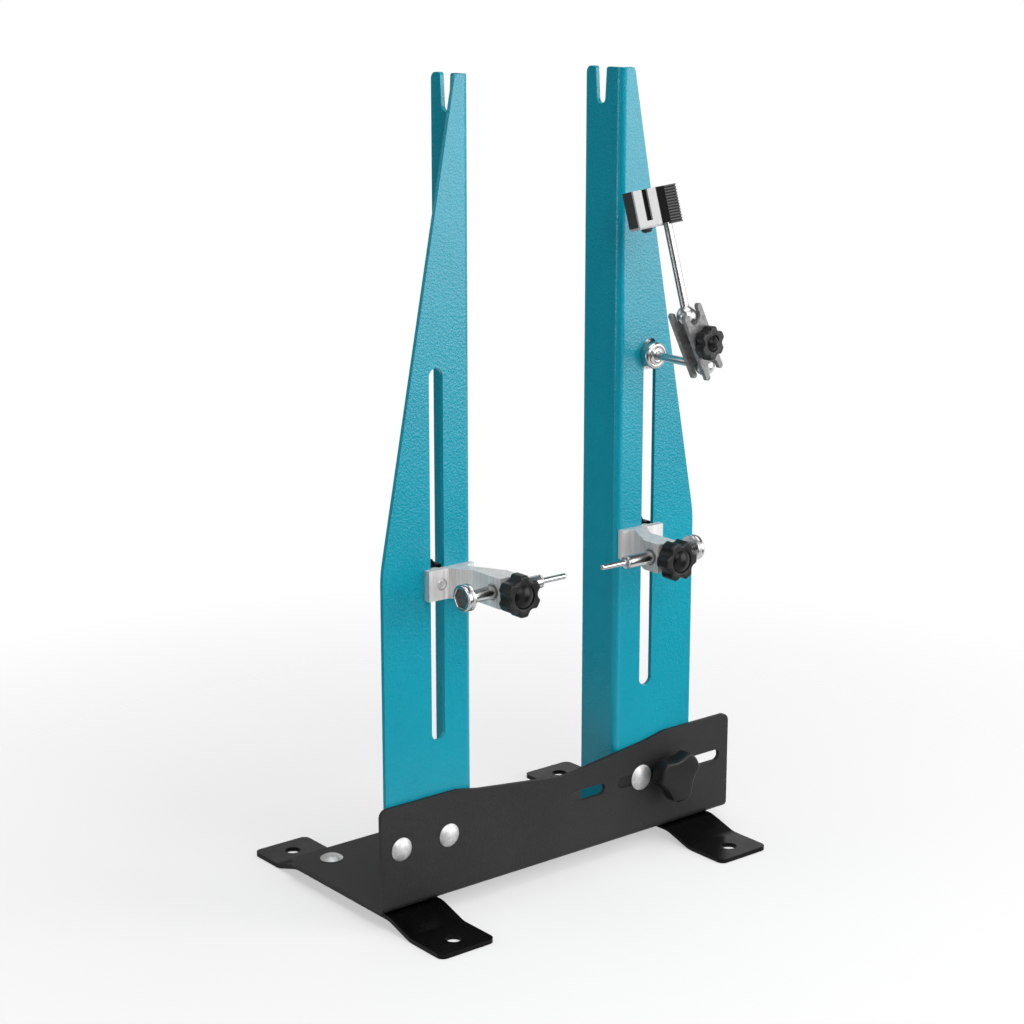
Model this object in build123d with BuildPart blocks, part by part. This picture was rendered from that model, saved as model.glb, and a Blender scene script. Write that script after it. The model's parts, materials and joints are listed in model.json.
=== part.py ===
from build123d import *
import os
from math import asin, cos, degrees, radians, sin, sqrt

os.makedirs("parts", exist_ok=True)

# Bicycle wheel truing stand, in millimetres, Z up. The origin lies on the ground at the centre of
# the four pad holes. The user sits at -Y; the wheel stands between the uprights, its axle along X.

# Clearances
SNUG = 0.02  # radial, a shank in its hole within one body
RUNNING = 0.06  # radial, a shaft that turns or slides in its bore
PLAY = 0.3  # between faces that pass each other

# Folded base: a front wall over a floor plate
BASE_SHEET = 2.5
FOOT_RISE = 8.0  # ground to the floor plate's underside
WALL_HEIGHT = 58.0
PLATE_DEPTH = 90.0
BASE_BEND = 4.0  # outer radius
WALL_CORNER = 4.5
PLATE_CORNER = 7.0
SHOULDER_LENGTH = 49.5  # level stretch of the wall's top edge at each end
STEP_RUN = 15.0
STEP_DROP = 2.9
VALLEY_DROP = 10.0  # the top edge's lowest point below the shoulders
STEP_RADIUS = 25.0
VALLEY_RADIUS = 70.0
FASTENER_HEIGHT = 34.2  # the wall's slots and fasteners above the plate's underside
WALL_SLOT = 6.5
SLOT_LAND = 10.0  # metal between the two wall slots
END_LAND = 6.75  # metal between the clamp slot and the wall's right end
SHORT_SLOT_LENGTH = 25.8

# Straps under the base, each with a drilled pad at both ends
STRAP_SHEET = 2.5
STRAP_WIDTH = 35.0
LEFT_STRAP_INSET = 20.0  # the wall's end to the strap's centre line
RIGHT_STRAP_INSET = 31.0
FRONT_REACH = 34.5  # the wall's front face to the front pad holes
REAR_REACH = 25.0  # the floor plate's rear edge to the rear pad holes
PAD_HOLE = 8.5
PAD_MARGIN = 13.0  # hole centre to the pad's end
PAD_CORNER = 4.0
JOGGLE_RUN = 18.0
JOGGLE_RADIUS = 18.0
FRONT_JOGGLE = 2.0  # the wall's front face to the top of the front joggle
REAR_JOGGLE = 5.0  # the top of the rear joggle, in from the plate's rear edge
STRAP_RIVET_INSET = 14.0  # from the plate's front and rear edges

# Uprights
UPRIGHT_SHEET = 2.5
UPRIGHT_HEIGHT = 418.0
UPRIGHT_LIFT = 7.5  # the floor plate's top face to the uprights' lower ends
UPRIGHT_WIDTH = 56.5
UPRIGHT_INSET = 5.0  # the wall's left end to the left upright
UPRIGHT_BEND = 4.0  # outer radius
LEG_DEPTH = 28.5
TAPER_START = 172.0  # above the upright's lower end
TAPER_BLEND = 60.0
TIP_WIDTH = 9.0
TIP_CORNER = 2.5
GAUGE_SLOT = 8.5
GAUGE_SLOT_OFFSET = 22.25  # the leg's wheel face to the slot's centre line
GAUGE_SLOT_FOOT = 77.5  # above the upright's lower end
GAUGE_SLOT_LENGTH = 196.5
NOTCH_OFFSET = 16.7  # the upright's front face to the axle notch's centre line
NOTCH_MOUTH = 8.6
NOTCH_FLOOR = 6.2
NOTCH_DEPTH = 19.0
NOTCH_ROUND = 2.8
NOTCH_CORNER = 1.5
LEG_CORNER = 3.5
HUB_GAP = 100.0  # between the legs' wheel faces, with the right upright slid fully in
SLIDE_TRAVEL = 40.0

# Fasteners on the wall
RIVET_HEAD = 12.8
RIVET_RISE = 2.6
RIVET_SHANK = 5.0
RIVET_TAIL = 8.0
RIVET_TAIL_RISE = 1.6
INNER_RIVET_OFFSET = 17.9  # from the leg's wheel face
OUTER_RIVET_OFFSET = 48.8
GUIDE_OFFSET = 18.1
GUIDE_HEAD = 14.8
KEY_LENGTH = 27.0
KEY_LEAD = 16.6  # the guide bolt to the key's inner end
KEY_THICKNESS = 2.4
CLAMP_OFFSET = 35.5
CLAMP_STUD = 6.0
CLAMP_HEAD = 13.0
CLAMP_HEAD_RISE = 3.0
NUT_WIDTH = 8.0  # across flats
NUT_THICKNESS = 4.0
BOLT_PROUD = 1.5  # a bolt's end past its nut
WASHER_THICKNESS = 1.2
WASHER_MARGIN = 4.5  # a washer's ring, from its bore outwards

# Three-lobed clamp knob
CLAMP_KNOB = 29.5
CLAMP_KNOB_LOBES = 3
CLAMP_KNOB_VALLEY = 10.5  # the axis to the flanks' deepest point
CLAMP_KNOB_SCOOP = 24.0
CLAMP_KNOB_TIP = 4.0
CLAMP_KNOB_HEAD = 9.0
CLAMP_KNOB_BEVEL = 1.6
CLAMP_HUB = 15.0
CLAMP_HUB_LENGTH = 5.0
CLAMP_KNOB_TURN = -21.0

# Six-lobed knobs, with a flatter one on the swivel clamp
GAUGE_KNOB = 22.0
SWIVEL_KNOB = 18.0
SWIVEL_KNOB_HEAD = 5.7
SWIVEL_HUB_LENGTH = 1.0
STAR_LOBES = 6
STAR_VALLEY = 0.81  # share of the knob's radius
STAR_SCOOP = 0.36  # share of the knob's radius
STAR_TIP = 1.6
STAR_HEAD = 8.5
STAR_HUB = 14.0
STAR_HUB_LENGTH = 3.0
STAR_EDGE = 0.7
CAP_MARGIN = 4.6  # the lobes' tips to the cap's rim
CAP_SEAT = 1.0
CAP_RISE = 1.6
RIGHT_LOCK_TURN = 30.0
BORE_SHARE = 0.5  # a blind bore's depth into the knob's head

# Side gauges
GAUGE_SET = 85.0  # the gauges' centre line above the slot's lower end
BRACKET_HEIGHT = 16.0
PAD_THICKNESS = 4.0
PAD_REACH = 30.5  # the leg's wheel face to the pad's outer end
PAD_WIDTH = 12.4
BOSS_OUTER = 10.5  # the leg's wheel face out to the boss's outer side
BOSS_WIDTH = 13.5
BRACKET_REACH = 36.5  # the upright's front face to the boss's front
BOSS_DEPTH = 11.0  # straight part of the boss's inner side
NECK_WIDTH = 9.0
INNER_FLANGE = 3.5
FLANGE_GAP = 1.0  # the leg's wheel face to the flange's inner end
BRACKET_CORNER = 0.5
OUTER_SWEEP = 11.0  # radius where the neck meets the boss, on the pad's side
INNER_SWEEP = 4.0  # the same on the wheel's side
NECK_SWEEP = 3.0  # the neck into the inner flange
GAUGE_STUD = 6.0
STUD_EDGE = 0.6
ROD_DEPTH = 30.5  # the upright's front face to the rod's axis
ROD = 7.0
PIN = 3.0
ROD_END = 21.0  # the leg's wheel face inwards to the rod's step
PIN_LENGTH = 17.0
FEELER_HEAD = 14.0
FEELER_HEAD_WIDTH = 5.0
FEELER_HEAD_EDGE = 0.5
FEELER_NECK = 5.6
NECK_GROOVE = 1.0
HEAD_GAP = 15.0  # the head to the boss, which is how far the rod slides in
HEX_RECESS = 9.5
HEX_DEPTH = 1.2
ROD_MOUTH = 9.0
MOUTH_DEPTH = 1.2
LOCK_SCREW = 5.0
LOCK_OFFSET = 3.7  # the leg's wheel face to the lock screw's axis

# Radial gauge
RADIAL_DROP = 9.0  # the slot's upper end down to the collar's axis
COLLAR = 14.7
COLLAR_THICKNESS = 6.0
COLLAR_RING = 1.7
COLLAR_GROOVE = 0.7
COLLAR_ROUND = 1.2  # the front rim
COLLAR_EDGE = 0.35
SLEEVE = 8.0
SLEEVE_NUT = 13.0
SWIVEL_ROD = 4.5
SWIVEL_BALL = 10.6
STUD_REACH = 42.7  # the upright's front face to the lower ball
STUD_NUT = 7.0
STUD_NUT_THICKNESS = 3.0
BALL_SPACING = 32.0
CLAMP_YAW = 6.2  # degrees, the two-ball clamp's turn from the user towards the sliding upright
CLAMP_LEAN = 28.6  # degrees, its lean towards the wheel
PLATE_LENGTH = 40.9
PLATE_WIDTH = 14.4
PLATE_SHEET = 2.4
BALL_NOTCH = 8.2
HORN_ROUND = 0.45  # share of a horn's width
SWIVEL_BOLT = 4.0
SWIVEL_HEAD = 7.0
SWIVEL_HEAD_RISE = 1.8
ARM_LEAN = 13.5  # degrees, the arm's lean towards the rear
ARM_ROLL = 4.8  # degrees, the arm's lean towards the wheel
ARM_REACH = 48.1  # the upper ball to the head's underside
HEAD_HEIGHT = 19.8
SOCKET_SHARE = 0.8  # the arm's socket over the head's height
HEAD_FRONT = 4.1  # the arm's axis to the head's front face
HEAD_REAR = 4.4
FORK_WIDTH = 15.5
FORK_SHEET = 1.2
FORK_BEND = 0.3  # inner radius
FORK_SLOT = 3.9
FORK_SLOT_DEPTH = 16.0
BAND_WIDTH = 5.8
GRIP_START = 1.1  # the arm's axis to the band's edge, on the fork's side
GRIP_WIDTH = 8.3
GRIP_RIBS = 14
RIB_SHARE = 0.55  # a rib's height over the pitch
RIB_DEPTH = 0.3
TONGUE_WALL = 0.8
HEAD_SCREW = 3.0
HEAD_SCREW_CAP = 5.8
HEAD_SCREW_RISE = 2.0
HEAD_SCREW_LENGTH = 9.0

# Places along X, from the wall's left end to its right
LEFT_SIDE = UPRIGHT_INSET + UPRIGHT_WIDTH
RIGHT_SIDE = LEFT_SIDE + HUB_GAP
SLOT_END = RIGHT_SIDE + CLAMP_OFFSET + SLIDE_TRAVEL + WALL_SLOT / 2
BASE_LENGTH = SLOT_END + END_LAND
HOLE_SPACING_X = BASE_LENGTH - LEFT_STRAP_INSET - RIGHT_STRAP_INSET
BASE_X = -HOLE_SPACING_X / 2 - LEFT_STRAP_INSET
BASE_MIDDLE = BASE_X + BASE_LENGTH / 2
LEFT_X = BASE_X + LEFT_SIDE
RIGHT_X = BASE_X + RIGHT_SIDE
MIDPLANE = Plane.YZ.offset((LEFT_X + RIGHT_X) / 2)
OUTER_X = LEFT_X - UPRIGHT_WIDTH
SLOT_X = LEFT_X - GAUGE_SLOT_OFFSET
GUIDE_X = RIGHT_X + GUIDE_OFFSET
CLAMP_X = RIGHT_X + CLAMP_OFFSET
KEY_X = GUIDE_X - KEY_LEAD + KEY_LENGTH / 2
CLAMP_SLOT_START = GUIDE_X - KEY_LEAD - PLAY
CLAMP_SLOT_END = BASE_X + SLOT_END
SHORT_SLOT_END = CLAMP_SLOT_START - SLOT_LAND
STRAPS_X = (-HOLE_SPACING_X / 2, HOLE_SPACING_X / 2)
INNER_RIVET_X = LEFT_X - INNER_RIVET_OFFSET
OUTER_RIVET_X = LEFT_X - OUTER_RIVET_OFFSET

# Places along Y and Z
HOLE_SPACING_Y = FRONT_REACH + PLATE_DEPTH + REAR_REACH
WALL_Y = FRONT_REACH - HOLE_SPACING_Y / 2
UPRIGHT_Y = WALL_Y + BASE_SHEET
FACE_REAR_Y = UPRIGHT_Y + UPRIGHT_SHEET
PLATE_END_Y = WALL_Y + PLATE_DEPTH
STRAP_RIVETS_Y = (WALL_Y + STRAP_RIVET_INSET, PLATE_END_Y - STRAP_RIVET_INSET)
PLATE_TOP = FOOT_RISE + BASE_SHEET
WALL_TOP = FOOT_RISE + WALL_HEIGHT
FASTENER_Z = FOOT_RISE + FASTENER_HEIGHT
UPRIGHT_Z = PLATE_TOP + UPRIGHT_LIFT
UPRIGHT_TOP = UPRIGHT_Z + UPRIGHT_HEIGHT
SLOT_FOOT_Z = UPRIGHT_Z + GAUGE_SLOT_FOOT
GAUGE_Z = SLOT_FOOT_Z + GAUGE_SET
RADIAL_Z = SLOT_FOOT_Z + GAUGE_SLOT_LENGTH - RADIAL_DROP

SEATED = (Align.CENTER, Align.CENTER, Align.MIN)


def facing_front(x, y, z, turn=0.0):
    """Seat whose normal points at the user, turned about that normal."""
    return Plane(origin=(x, y, z), x_dir=(cos(radians(turn)), 0, sin(radians(turn))), z_dir=(0, -1, 0))


def facing_rear(x, y, z):
    return Plane(origin=(x, y, z), x_dir=(-1, 0, 0), z_dir=(0, 1, 0))


def section_of(seat):
    """Plane through a seat's axis: its x is the radius, its y runs out along the seat's normal."""
    return Plane(origin=seat.origin, x_dir=seat.x_dir, z_dir=seat.y_dir * -1)


def axis_of(seat):
    return Axis(seat.origin, seat.z_dir)


def outer_face(builder, seat):
    return builder.faces().sort_by(axis_of(seat))[-1]


def dome(radius, rise):
    """Arc from a dome's rim to its crown, on the axis."""
    sphere = (radius**2 + rise**2) / (2 * rise)
    start = degrees(asin((sphere - rise) / sphere))
    return CenterArc((0, rise - sphere), sphere, start, 90 - start)


def domed_bolt(seat, head, rise, shank, length, tail=0.0, tail_rise=0.0):
    """Domed head on the seat and a shank behind it, with a formed tail on a rivet."""
    with BuildPart() as bolt:
        with BuildSketch(section_of(seat)):
            with BuildLine():
                crown = dome(head / 2, rise)
                Polyline(
                    crown @ 1,
                    (0, -length),
                    (shank / 2, -length),
                    (shank / 2, 0),
                    crown @ 0,
                )
            make_face()
        revolve(axis=axis_of(seat))
        if tail:
            with Locations(seat.offset(-length)):
                Cylinder(tail / 2, tail_rise, align=(Align.CENTER, Align.CENTER, Align.MAX))
            chamfer(bolt.faces().sort_by(axis_of(seat))[0].edges(), tail_rise / 2)
    return bolt


def washer(seat, bore):
    with BuildPart() as ring:
        with Locations(seat):
            Cylinder(bore / 2 + WASHER_MARGIN, WASHER_THICKNESS, align=SEATED)
            Cylinder(bore / 2, WASHER_THICKNESS, align=SEATED, mode=Mode.SUBTRACT)
    return ring


def hex_nut(seat, width, thickness, bore):
    with BuildPart() as nut:
        with BuildSketch(seat):
            RegularPolygon(width / 2, 6, major_radius=False)
            Circle(bore / 2, mode=Mode.SUBTRACT)
        extrude(amount=thickness)
    return nut


def lobed_knob(seat, lobes, tip, valley, scoop, tip_round, head, edge, hub, hub_length):
    """Moulded knob: a round hub on the seat and a lobed head in front of it."""
    with BuildPart() as knob:
        with BuildSketch(seat.offset(hub_length)) as outline:
            Circle(tip)
            with PolarLocations(valley + scoop, lobes):
                Circle(scoop, mode=Mode.SUBTRACT)
            fillet(outline.vertices(), tip_round)
        extrude(amount=head)
        chamfer(outer_face(knob, seat).edges(), edge)
        with Locations(seat):
            Cylinder(hub / 2, hub_length, align=SEATED)
    return knob


def star_knob(seat, width, head, hub_length, bore, bore_depth):
    """Six-lobed knob with a blind or through bore and a recess for its cap."""
    with BuildPart() as knob:
        add(
            lobed_knob(
                seat,
                STAR_LOBES,
                width / 2,
                width / 2 * STAR_VALLEY,
                width / 2 * STAR_SCOOP,
                STAR_TIP,
                head,
                STAR_EDGE,
                STAR_HUB,
                hub_length,
            ).part
        )
        with Locations(seat):
            Cylinder(bore / 2, bore_depth, align=SEATED, mode=Mode.SUBTRACT)
        with Locations(seat.offset(hub_length + head)):
            Cylinder(
                width / 2 - CAP_MARGIN + SNUG,
                CAP_SEAT,
                align=(Align.CENTER, Align.CENTER, Align.MAX),
                mode=Mode.SUBTRACT,
            )
    return knob


def knob_cap(face, width, bore=0.0):
    """Domed cap pressed into the recess in a star knob's front face."""
    with BuildPart() as cap:
        with BuildSketch(section_of(face)):
            with BuildLine():
                crown = dome(width / 2 - CAP_MARGIN, CAP_RISE)
                Polyline(crown @ 1, (0, -CAP_SEAT), (width / 2 - CAP_MARGIN, -CAP_SEAT), crown @ 0)
            make_face()
        revolve(axis=axis_of(face))
        if bore:
            with Locations(face):
                Cylinder(bore / 2, 2 * (CAP_SEAT + CAP_RISE), mode=Mode.SUBTRACT)
    return cap


# ---------------------------------------------------------------- Base channel
with BuildPart() as base_channel:
    with BuildSketch(Plane.YZ.offset(BASE_X)):
        with BuildLine():
            FilletPolyline(
                (WALL_Y, WALL_TOP),
                (WALL_Y, FOOT_RISE),
                (PLATE_END_Y, FOOT_RISE),
                radius=BASE_BEND,
            )
            offset(amount=BASE_SHEET, side=Side.LEFT)
        make_face()
    extrude(amount=BASE_LENGTH)
    fillet(base_channel.edges().filter_by(Axis.Y).group_by(Axis.Z)[-1], WALL_CORNER)
    fillet(base_channel.edges().filter_by(Axis.Z).group_by(Axis.Y)[-1], PLATE_CORNER)
    # The wall's top edge steps down from level shoulders to a shallow valley
    with BuildSketch(Plane.XZ.offset(-WALL_Y)):
        with BuildLine():
            half = BASE_LENGTH / 2 - SHOULDER_LENGTH
            edge = FilletPolyline(
                (BASE_MIDDLE - half - STEP_RUN, WALL_TOP),
                (BASE_MIDDLE - half, WALL_TOP),
                (BASE_MIDDLE - half + STEP_RUN, WALL_TOP - STEP_DROP),
                (BASE_MIDDLE, WALL_TOP - VALLEY_DROP),
                (BASE_MIDDLE + half - STEP_RUN, WALL_TOP - STEP_DROP),
                (BASE_MIDDLE + half, WALL_TOP),
                (BASE_MIDDLE + half + STEP_RUN, WALL_TOP),
                radius=(STEP_RADIUS, STEP_RADIUS, VALLEY_RADIUS, STEP_RADIUS, STEP_RADIUS),
            )
            Polyline(
                edge @ 1,
                (BASE_MIDDLE + half + STEP_RUN, WALL_TOP + BASE_SHEET),
                (BASE_MIDDLE - half - STEP_RUN, WALL_TOP + BASE_SHEET),
                edge @ 0,
            )
        make_face()
    extrude(amount=-BASE_SHEET, mode=Mode.SUBTRACT)
    with BuildSketch(Plane.XZ.offset(-WALL_Y)):
        with Locations(((CLAMP_SLOT_START + CLAMP_SLOT_END) / 2, FASTENER_Z)):
            SlotOverall(CLAMP_SLOT_END - CLAMP_SLOT_START, WALL_SLOT)
        with Locations((SHORT_SLOT_END - SHORT_SLOT_LENGTH / 2, FASTENER_Z)):
            SlotOverall(SHORT_SLOT_LENGTH, WALL_SLOT)
        with Locations((INNER_RIVET_X, FASTENER_Z), (OUTER_RIVET_X, FASTENER_Z)):
            Circle(RIVET_SHANK / 2 + SNUG)
    extrude(amount=-BASE_SHEET, mode=Mode.SUBTRACT)
    with Locations(*[(x, y, PLATE_TOP) for x in STRAPS_X for y in STRAP_RIVETS_Y]):
        Hole(RIVET_SHANK / 2 + SNUG, BASE_SHEET)
base_channel.part.label = "base_channel"
export_step(base_channel.part, "parts/base_channel.step")

# ---------------------------------------------------------------- Straps and their rivets
for side, strap_x in zip(("left", "right"), STRAPS_X):
    front_top = WALL_Y - FRONT_JOGGLE
    rear_top = PLATE_END_Y - REAR_JOGGLE
    with BuildPart() as foot_strap:
        with BuildSketch(Plane.YZ.offset(strap_x - STRAP_WIDTH / 2)):
            with BuildLine():
                FilletPolyline(
                    (-HOLE_SPACING_Y / 2 - PAD_MARGIN, 0),
                    (front_top - JOGGLE_RUN, 0),
                    (front_top, FOOT_RISE - STRAP_SHEET),
                    (rear_top, FOOT_RISE - STRAP_SHEET),
                    (rear_top + JOGGLE_RUN, 0),
                    (HOLE_SPACING_Y / 2 + PAD_MARGIN, 0),
                    radius=JOGGLE_RADIUS,
                )
                offset(amount=STRAP_SHEET, side=Side.LEFT)
            make_face()
        extrude(amount=STRAP_WIDTH)
        ends = foot_strap.edges().filter_by(Axis.Z).group_by(Axis.Y)
        fillet(ends[0] + ends[-1], PAD_CORNER)
        with Locations(*[(strap_x, y, STRAP_SHEET) for y in (-HOLE_SPACING_Y / 2, HOLE_SPACING_Y / 2)]):
            Hole(PAD_HOLE / 2, STRAP_SHEET)
        with Locations(*[(strap_x, y, FOOT_RISE) for y in STRAP_RIVETS_Y]):
            Hole(RIVET_SHANK / 2 + SNUG, STRAP_SHEET)
    foot_strap.part.label = f"foot_strap_{side}"
    export_step(foot_strap.part, f"parts/foot_strap_{side}.step")

with BuildPart() as foot_rivets:
    for strap_x in STRAPS_X:
        for rivet_y in STRAP_RIVETS_Y:
            add(
                domed_bolt(
                    Plane.XY.offset(PLATE_TOP).move(Location((strap_x, rivet_y, 0))),
                    RIVET_HEAD,
                    RIVET_RISE,
                    RIVET_SHANK,
                    BASE_SHEET + STRAP_SHEET,
                    RIVET_TAIL,
                    RIVET_TAIL_RISE,
                ).part
            )
foot_rivets.part.label = "foot_rivets"
export_step(foot_rivets.part, "parts/foot_rivets.step")

# ---------------------------------------------------------------- Uprights
with BuildPart() as upright_blank:
    with BuildSketch(Plane.XY.offset(UPRIGHT_Z)):
        with BuildLine():
            FilletPolyline(
                (OUTER_X, UPRIGHT_Y),
                (LEFT_X, UPRIGHT_Y),
                (LEFT_X, UPRIGHT_Y + LEG_DEPTH),
                radius=UPRIGHT_BEND,
            )
            offset(amount=UPRIGHT_SHEET, side=Side.LEFT)
        make_face()
    extrude(amount=UPRIGHT_HEIGHT)
    # The face plate tapers to a narrow tip
    with BuildSketch(Plane.XZ.offset(-UPRIGHT_Y)):
        with BuildLine():
            Polyline(
                (OUTER_X, UPRIGHT_Z + TAPER_START),
                (LEFT_X - TIP_WIDTH, UPRIGHT_TOP),
                (LEFT_X - TIP_WIDTH, UPRIGHT_TOP + UPRIGHT_SHEET),
                (OUTER_X - UPRIGHT_SHEET, UPRIGHT_TOP + UPRIGHT_SHEET),
                (OUTER_X - UPRIGHT_SHEET, UPRIGHT_Z + TAPER_START),
                close=True,
            )
        make_face()
    extrude(amount=-UPRIGHT_SHEET, mode=Mode.SUBTRACT)
    for corner, radius in (
        ((OUTER_X, UPRIGHT_Y, UPRIGHT_Z + TAPER_START), TAPER_BLEND),
        ((LEFT_X - TIP_WIDTH, UPRIGHT_Y, UPRIGHT_TOP), TIP_CORNER),
    ):
        fillet(upright_blank.edges().filter_by(Axis.Y).sort_by_distance(corner)[0], radius)
    with BuildSketch(Plane.XZ.offset(-UPRIGHT_Y)):
        with Locations((SLOT_X, SLOT_FOOT_Z + GAUGE_SLOT_LENGTH / 2)):
            SlotOverall(GAUGE_SLOT_LENGTH, GAUGE_SLOT, rotation=90)
    extrude(amount=-UPRIGHT_SHEET, mode=Mode.SUBTRACT)
    # Axle notch in the leg's top, tapering to a round floor
    with BuildSketch(Plane.YZ.offset(LEFT_X)) as notch:
        with BuildLine():
            Polyline(
                (UPRIGHT_Y + NOTCH_OFFSET - NOTCH_MOUTH / 2, UPRIGHT_TOP),
                (UPRIGHT_Y + NOTCH_OFFSET - NOTCH_FLOOR / 2, UPRIGHT_TOP - NOTCH_DEPTH),
                (UPRIGHT_Y + NOTCH_OFFSET + NOTCH_FLOOR / 2, UPRIGHT_TOP - NOTCH_DEPTH),
                (UPRIGHT_Y + NOTCH_OFFSET + NOTCH_MOUTH / 2, UPRIGHT_TOP),
                close=True,
            )
        make_face()
        fillet(notch.vertices().group_by(Axis.Y)[0], NOTCH_ROUND)
    extrude(amount=-UPRIGHT_SHEET, mode=Mode.SUBTRACT)
    crest = upright_blank.edges().filter_by(Axis.X).group_by(Axis.Z)[-1].sort_by(Axis.Y)
    fillet(crest[-1], LEG_CORNER)
    fillet(crest[-3:-1], NOTCH_CORNER)

with BuildPart() as left_upright:
    add(upright_blank.part)
    with BuildSketch(Plane.XZ.offset(-UPRIGHT_Y)):
        with Locations((INNER_RIVET_X, FASTENER_Z), (OUTER_RIVET_X, FASTENER_Z)):
            Circle(RIVET_SHANK / 2 + SNUG)
    extrude(amount=-UPRIGHT_SHEET, mode=Mode.SUBTRACT)
left_upright.part.label = "left_upright"
export_step(left_upright.part, "parts/left_upright.step")

with BuildPart() as right_upright:
    mirror(upright_blank.part, about=MIDPLANE)
    with BuildSketch(Plane.XZ.offset(-UPRIGHT_Y)):
        with Locations((GUIDE_X, FASTENER_Z)):
            Circle(RIVET_SHANK / 2 + SNUG)
        with Locations((CLAMP_X, FASTENER_Z)):
            Circle(CLAMP_STUD / 2 + SNUG)
    extrude(amount=-UPRIGHT_SHEET, mode=Mode.SUBTRACT)
right_upright.part.label = "right_upright"
export_step(right_upright.part, "parts/right_upright.step")

with BuildPart() as upright_rivets:
    for rivet_x in (INNER_RIVET_X, OUTER_RIVET_X):
        add(
            domed_bolt(
                facing_front(rivet_x, WALL_Y, FASTENER_Z),
                RIVET_HEAD,
                RIVET_RISE,
                RIVET_SHANK,
                BASE_SHEET + UPRIGHT_SHEET,
                RIVET_TAIL,
                RIVET_TAIL_RISE,
            ).part
        )
upright_rivets.part.label = "upright_rivets"
export_step(upright_rivets.part, "parts/upright_rivets.step")

# ---------------------------------------------------------------- Guide and clamp of the sliding upright
guide_bolt = domed_bolt(
    facing_front(GUIDE_X, WALL_Y, FASTENER_Z),
    GUIDE_HEAD,
    RIVET_RISE,
    RIVET_SHANK,
    BASE_SHEET + UPRIGHT_SHEET + NUT_THICKNESS + BOLT_PROUD,
)
guide_bolt.part.label = "guide_bolt"
export_step(guide_bolt.part, "parts/guide_bolt.step")

with BuildPart() as guide_key:
    with BuildSketch(Plane.XZ.offset(-UPRIGHT_Y)):
        with Locations((KEY_X, FASTENER_Z)):
            SlotOverall(KEY_LENGTH, WALL_SLOT - 2 * PLAY)
        with Locations((GUIDE_X, FASTENER_Z)):
            Circle(RIVET_SHANK / 2 + SNUG, mode=Mode.SUBTRACT)
    extrude(amount=KEY_THICKNESS)
guide_key.part.label = "guide_key"
export_step(guide_key.part, "parts/guide_key.step")

guide_nut = hex_nut(
    facing_rear(GUIDE_X, FACE_REAR_Y, FASTENER_Z), NUT_WIDTH, NUT_THICKNESS, RIVET_SHANK + 2 * SNUG
)
guide_nut.part.label = "guide_nut"
export_step(guide_nut.part, "parts/guide_nut.step")

base_clamp_washer = washer(facing_front(CLAMP_X, WALL_Y, FASTENER_Z), CLAMP_STUD + 2 * RUNNING)
base_clamp_washer.part.label = "base_clamp_washer"
export_step(base_clamp_washer.part, "parts/base_clamp_washer.step")

CLAMP_SEAT = facing_front(CLAMP_X, WALL_Y - WASHER_THICKNESS, FASTENER_Z, CLAMP_KNOB_TURN)
CLAMP_BORE_DEPTH = CLAMP_HUB_LENGTH + CLAMP_KNOB_HEAD * BORE_SHARE
base_clamp_stud = domed_bolt(
    facing_rear(CLAMP_X, FACE_REAR_Y, FASTENER_Z),
    CLAMP_HEAD,
    CLAMP_HEAD_RISE,
    CLAMP_STUD,
    UPRIGHT_SHEET + BASE_SHEET + WASHER_THICKNESS + CLAMP_BORE_DEPTH - PLAY,
)
base_clamp_stud.part.label = "base_clamp_stud"
export_step(base_clamp_stud.part, "parts/base_clamp_stud.step")

with BuildPart() as base_clamp_knob:
    add(
        lobed_knob(
            CLAMP_SEAT,
            CLAMP_KNOB_LOBES,
            CLAMP_KNOB / 2,
            CLAMP_KNOB_VALLEY,
            CLAMP_KNOB_SCOOP,
            CLAMP_KNOB_TIP,
            CLAMP_KNOB_HEAD,
            CLAMP_KNOB_BEVEL,
            CLAMP_HUB,
            CLAMP_HUB_LENGTH,
        ).part
    )
    with Locations(CLAMP_SEAT):
        Cylinder(CLAMP_STUD / 2 + RUNNING, CLAMP_BORE_DEPTH, align=SEATED, mode=Mode.SUBTRACT)
base_clamp_knob.part.label = "base_clamp_knob"
export_step(base_clamp_knob.part, "parts/base_clamp_knob.step")

# ---------------------------------------------------------------- Side gauges
PAD_FRONT_Y = UPRIGHT_Y - PAD_THICKNESS
BOSS_X = LEFT_X - BOSS_OUTER
BOSS_END_X = BOSS_X + BOSS_WIDTH
BOSS_FRONT_Y = UPRIGHT_Y - BRACKET_REACH
ROD_Y = UPRIGHT_Y - ROD_DEPTH
LOCK_X = LEFT_X - LOCK_OFFSET
PAD_X = LEFT_X - PAD_REACH
NECK_X = PAD_X + PAD_WIDTH
HEAD_INNER_X = BOSS_X - HEAD_GAP
STEP_X = LEFT_X + ROD_END

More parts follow.
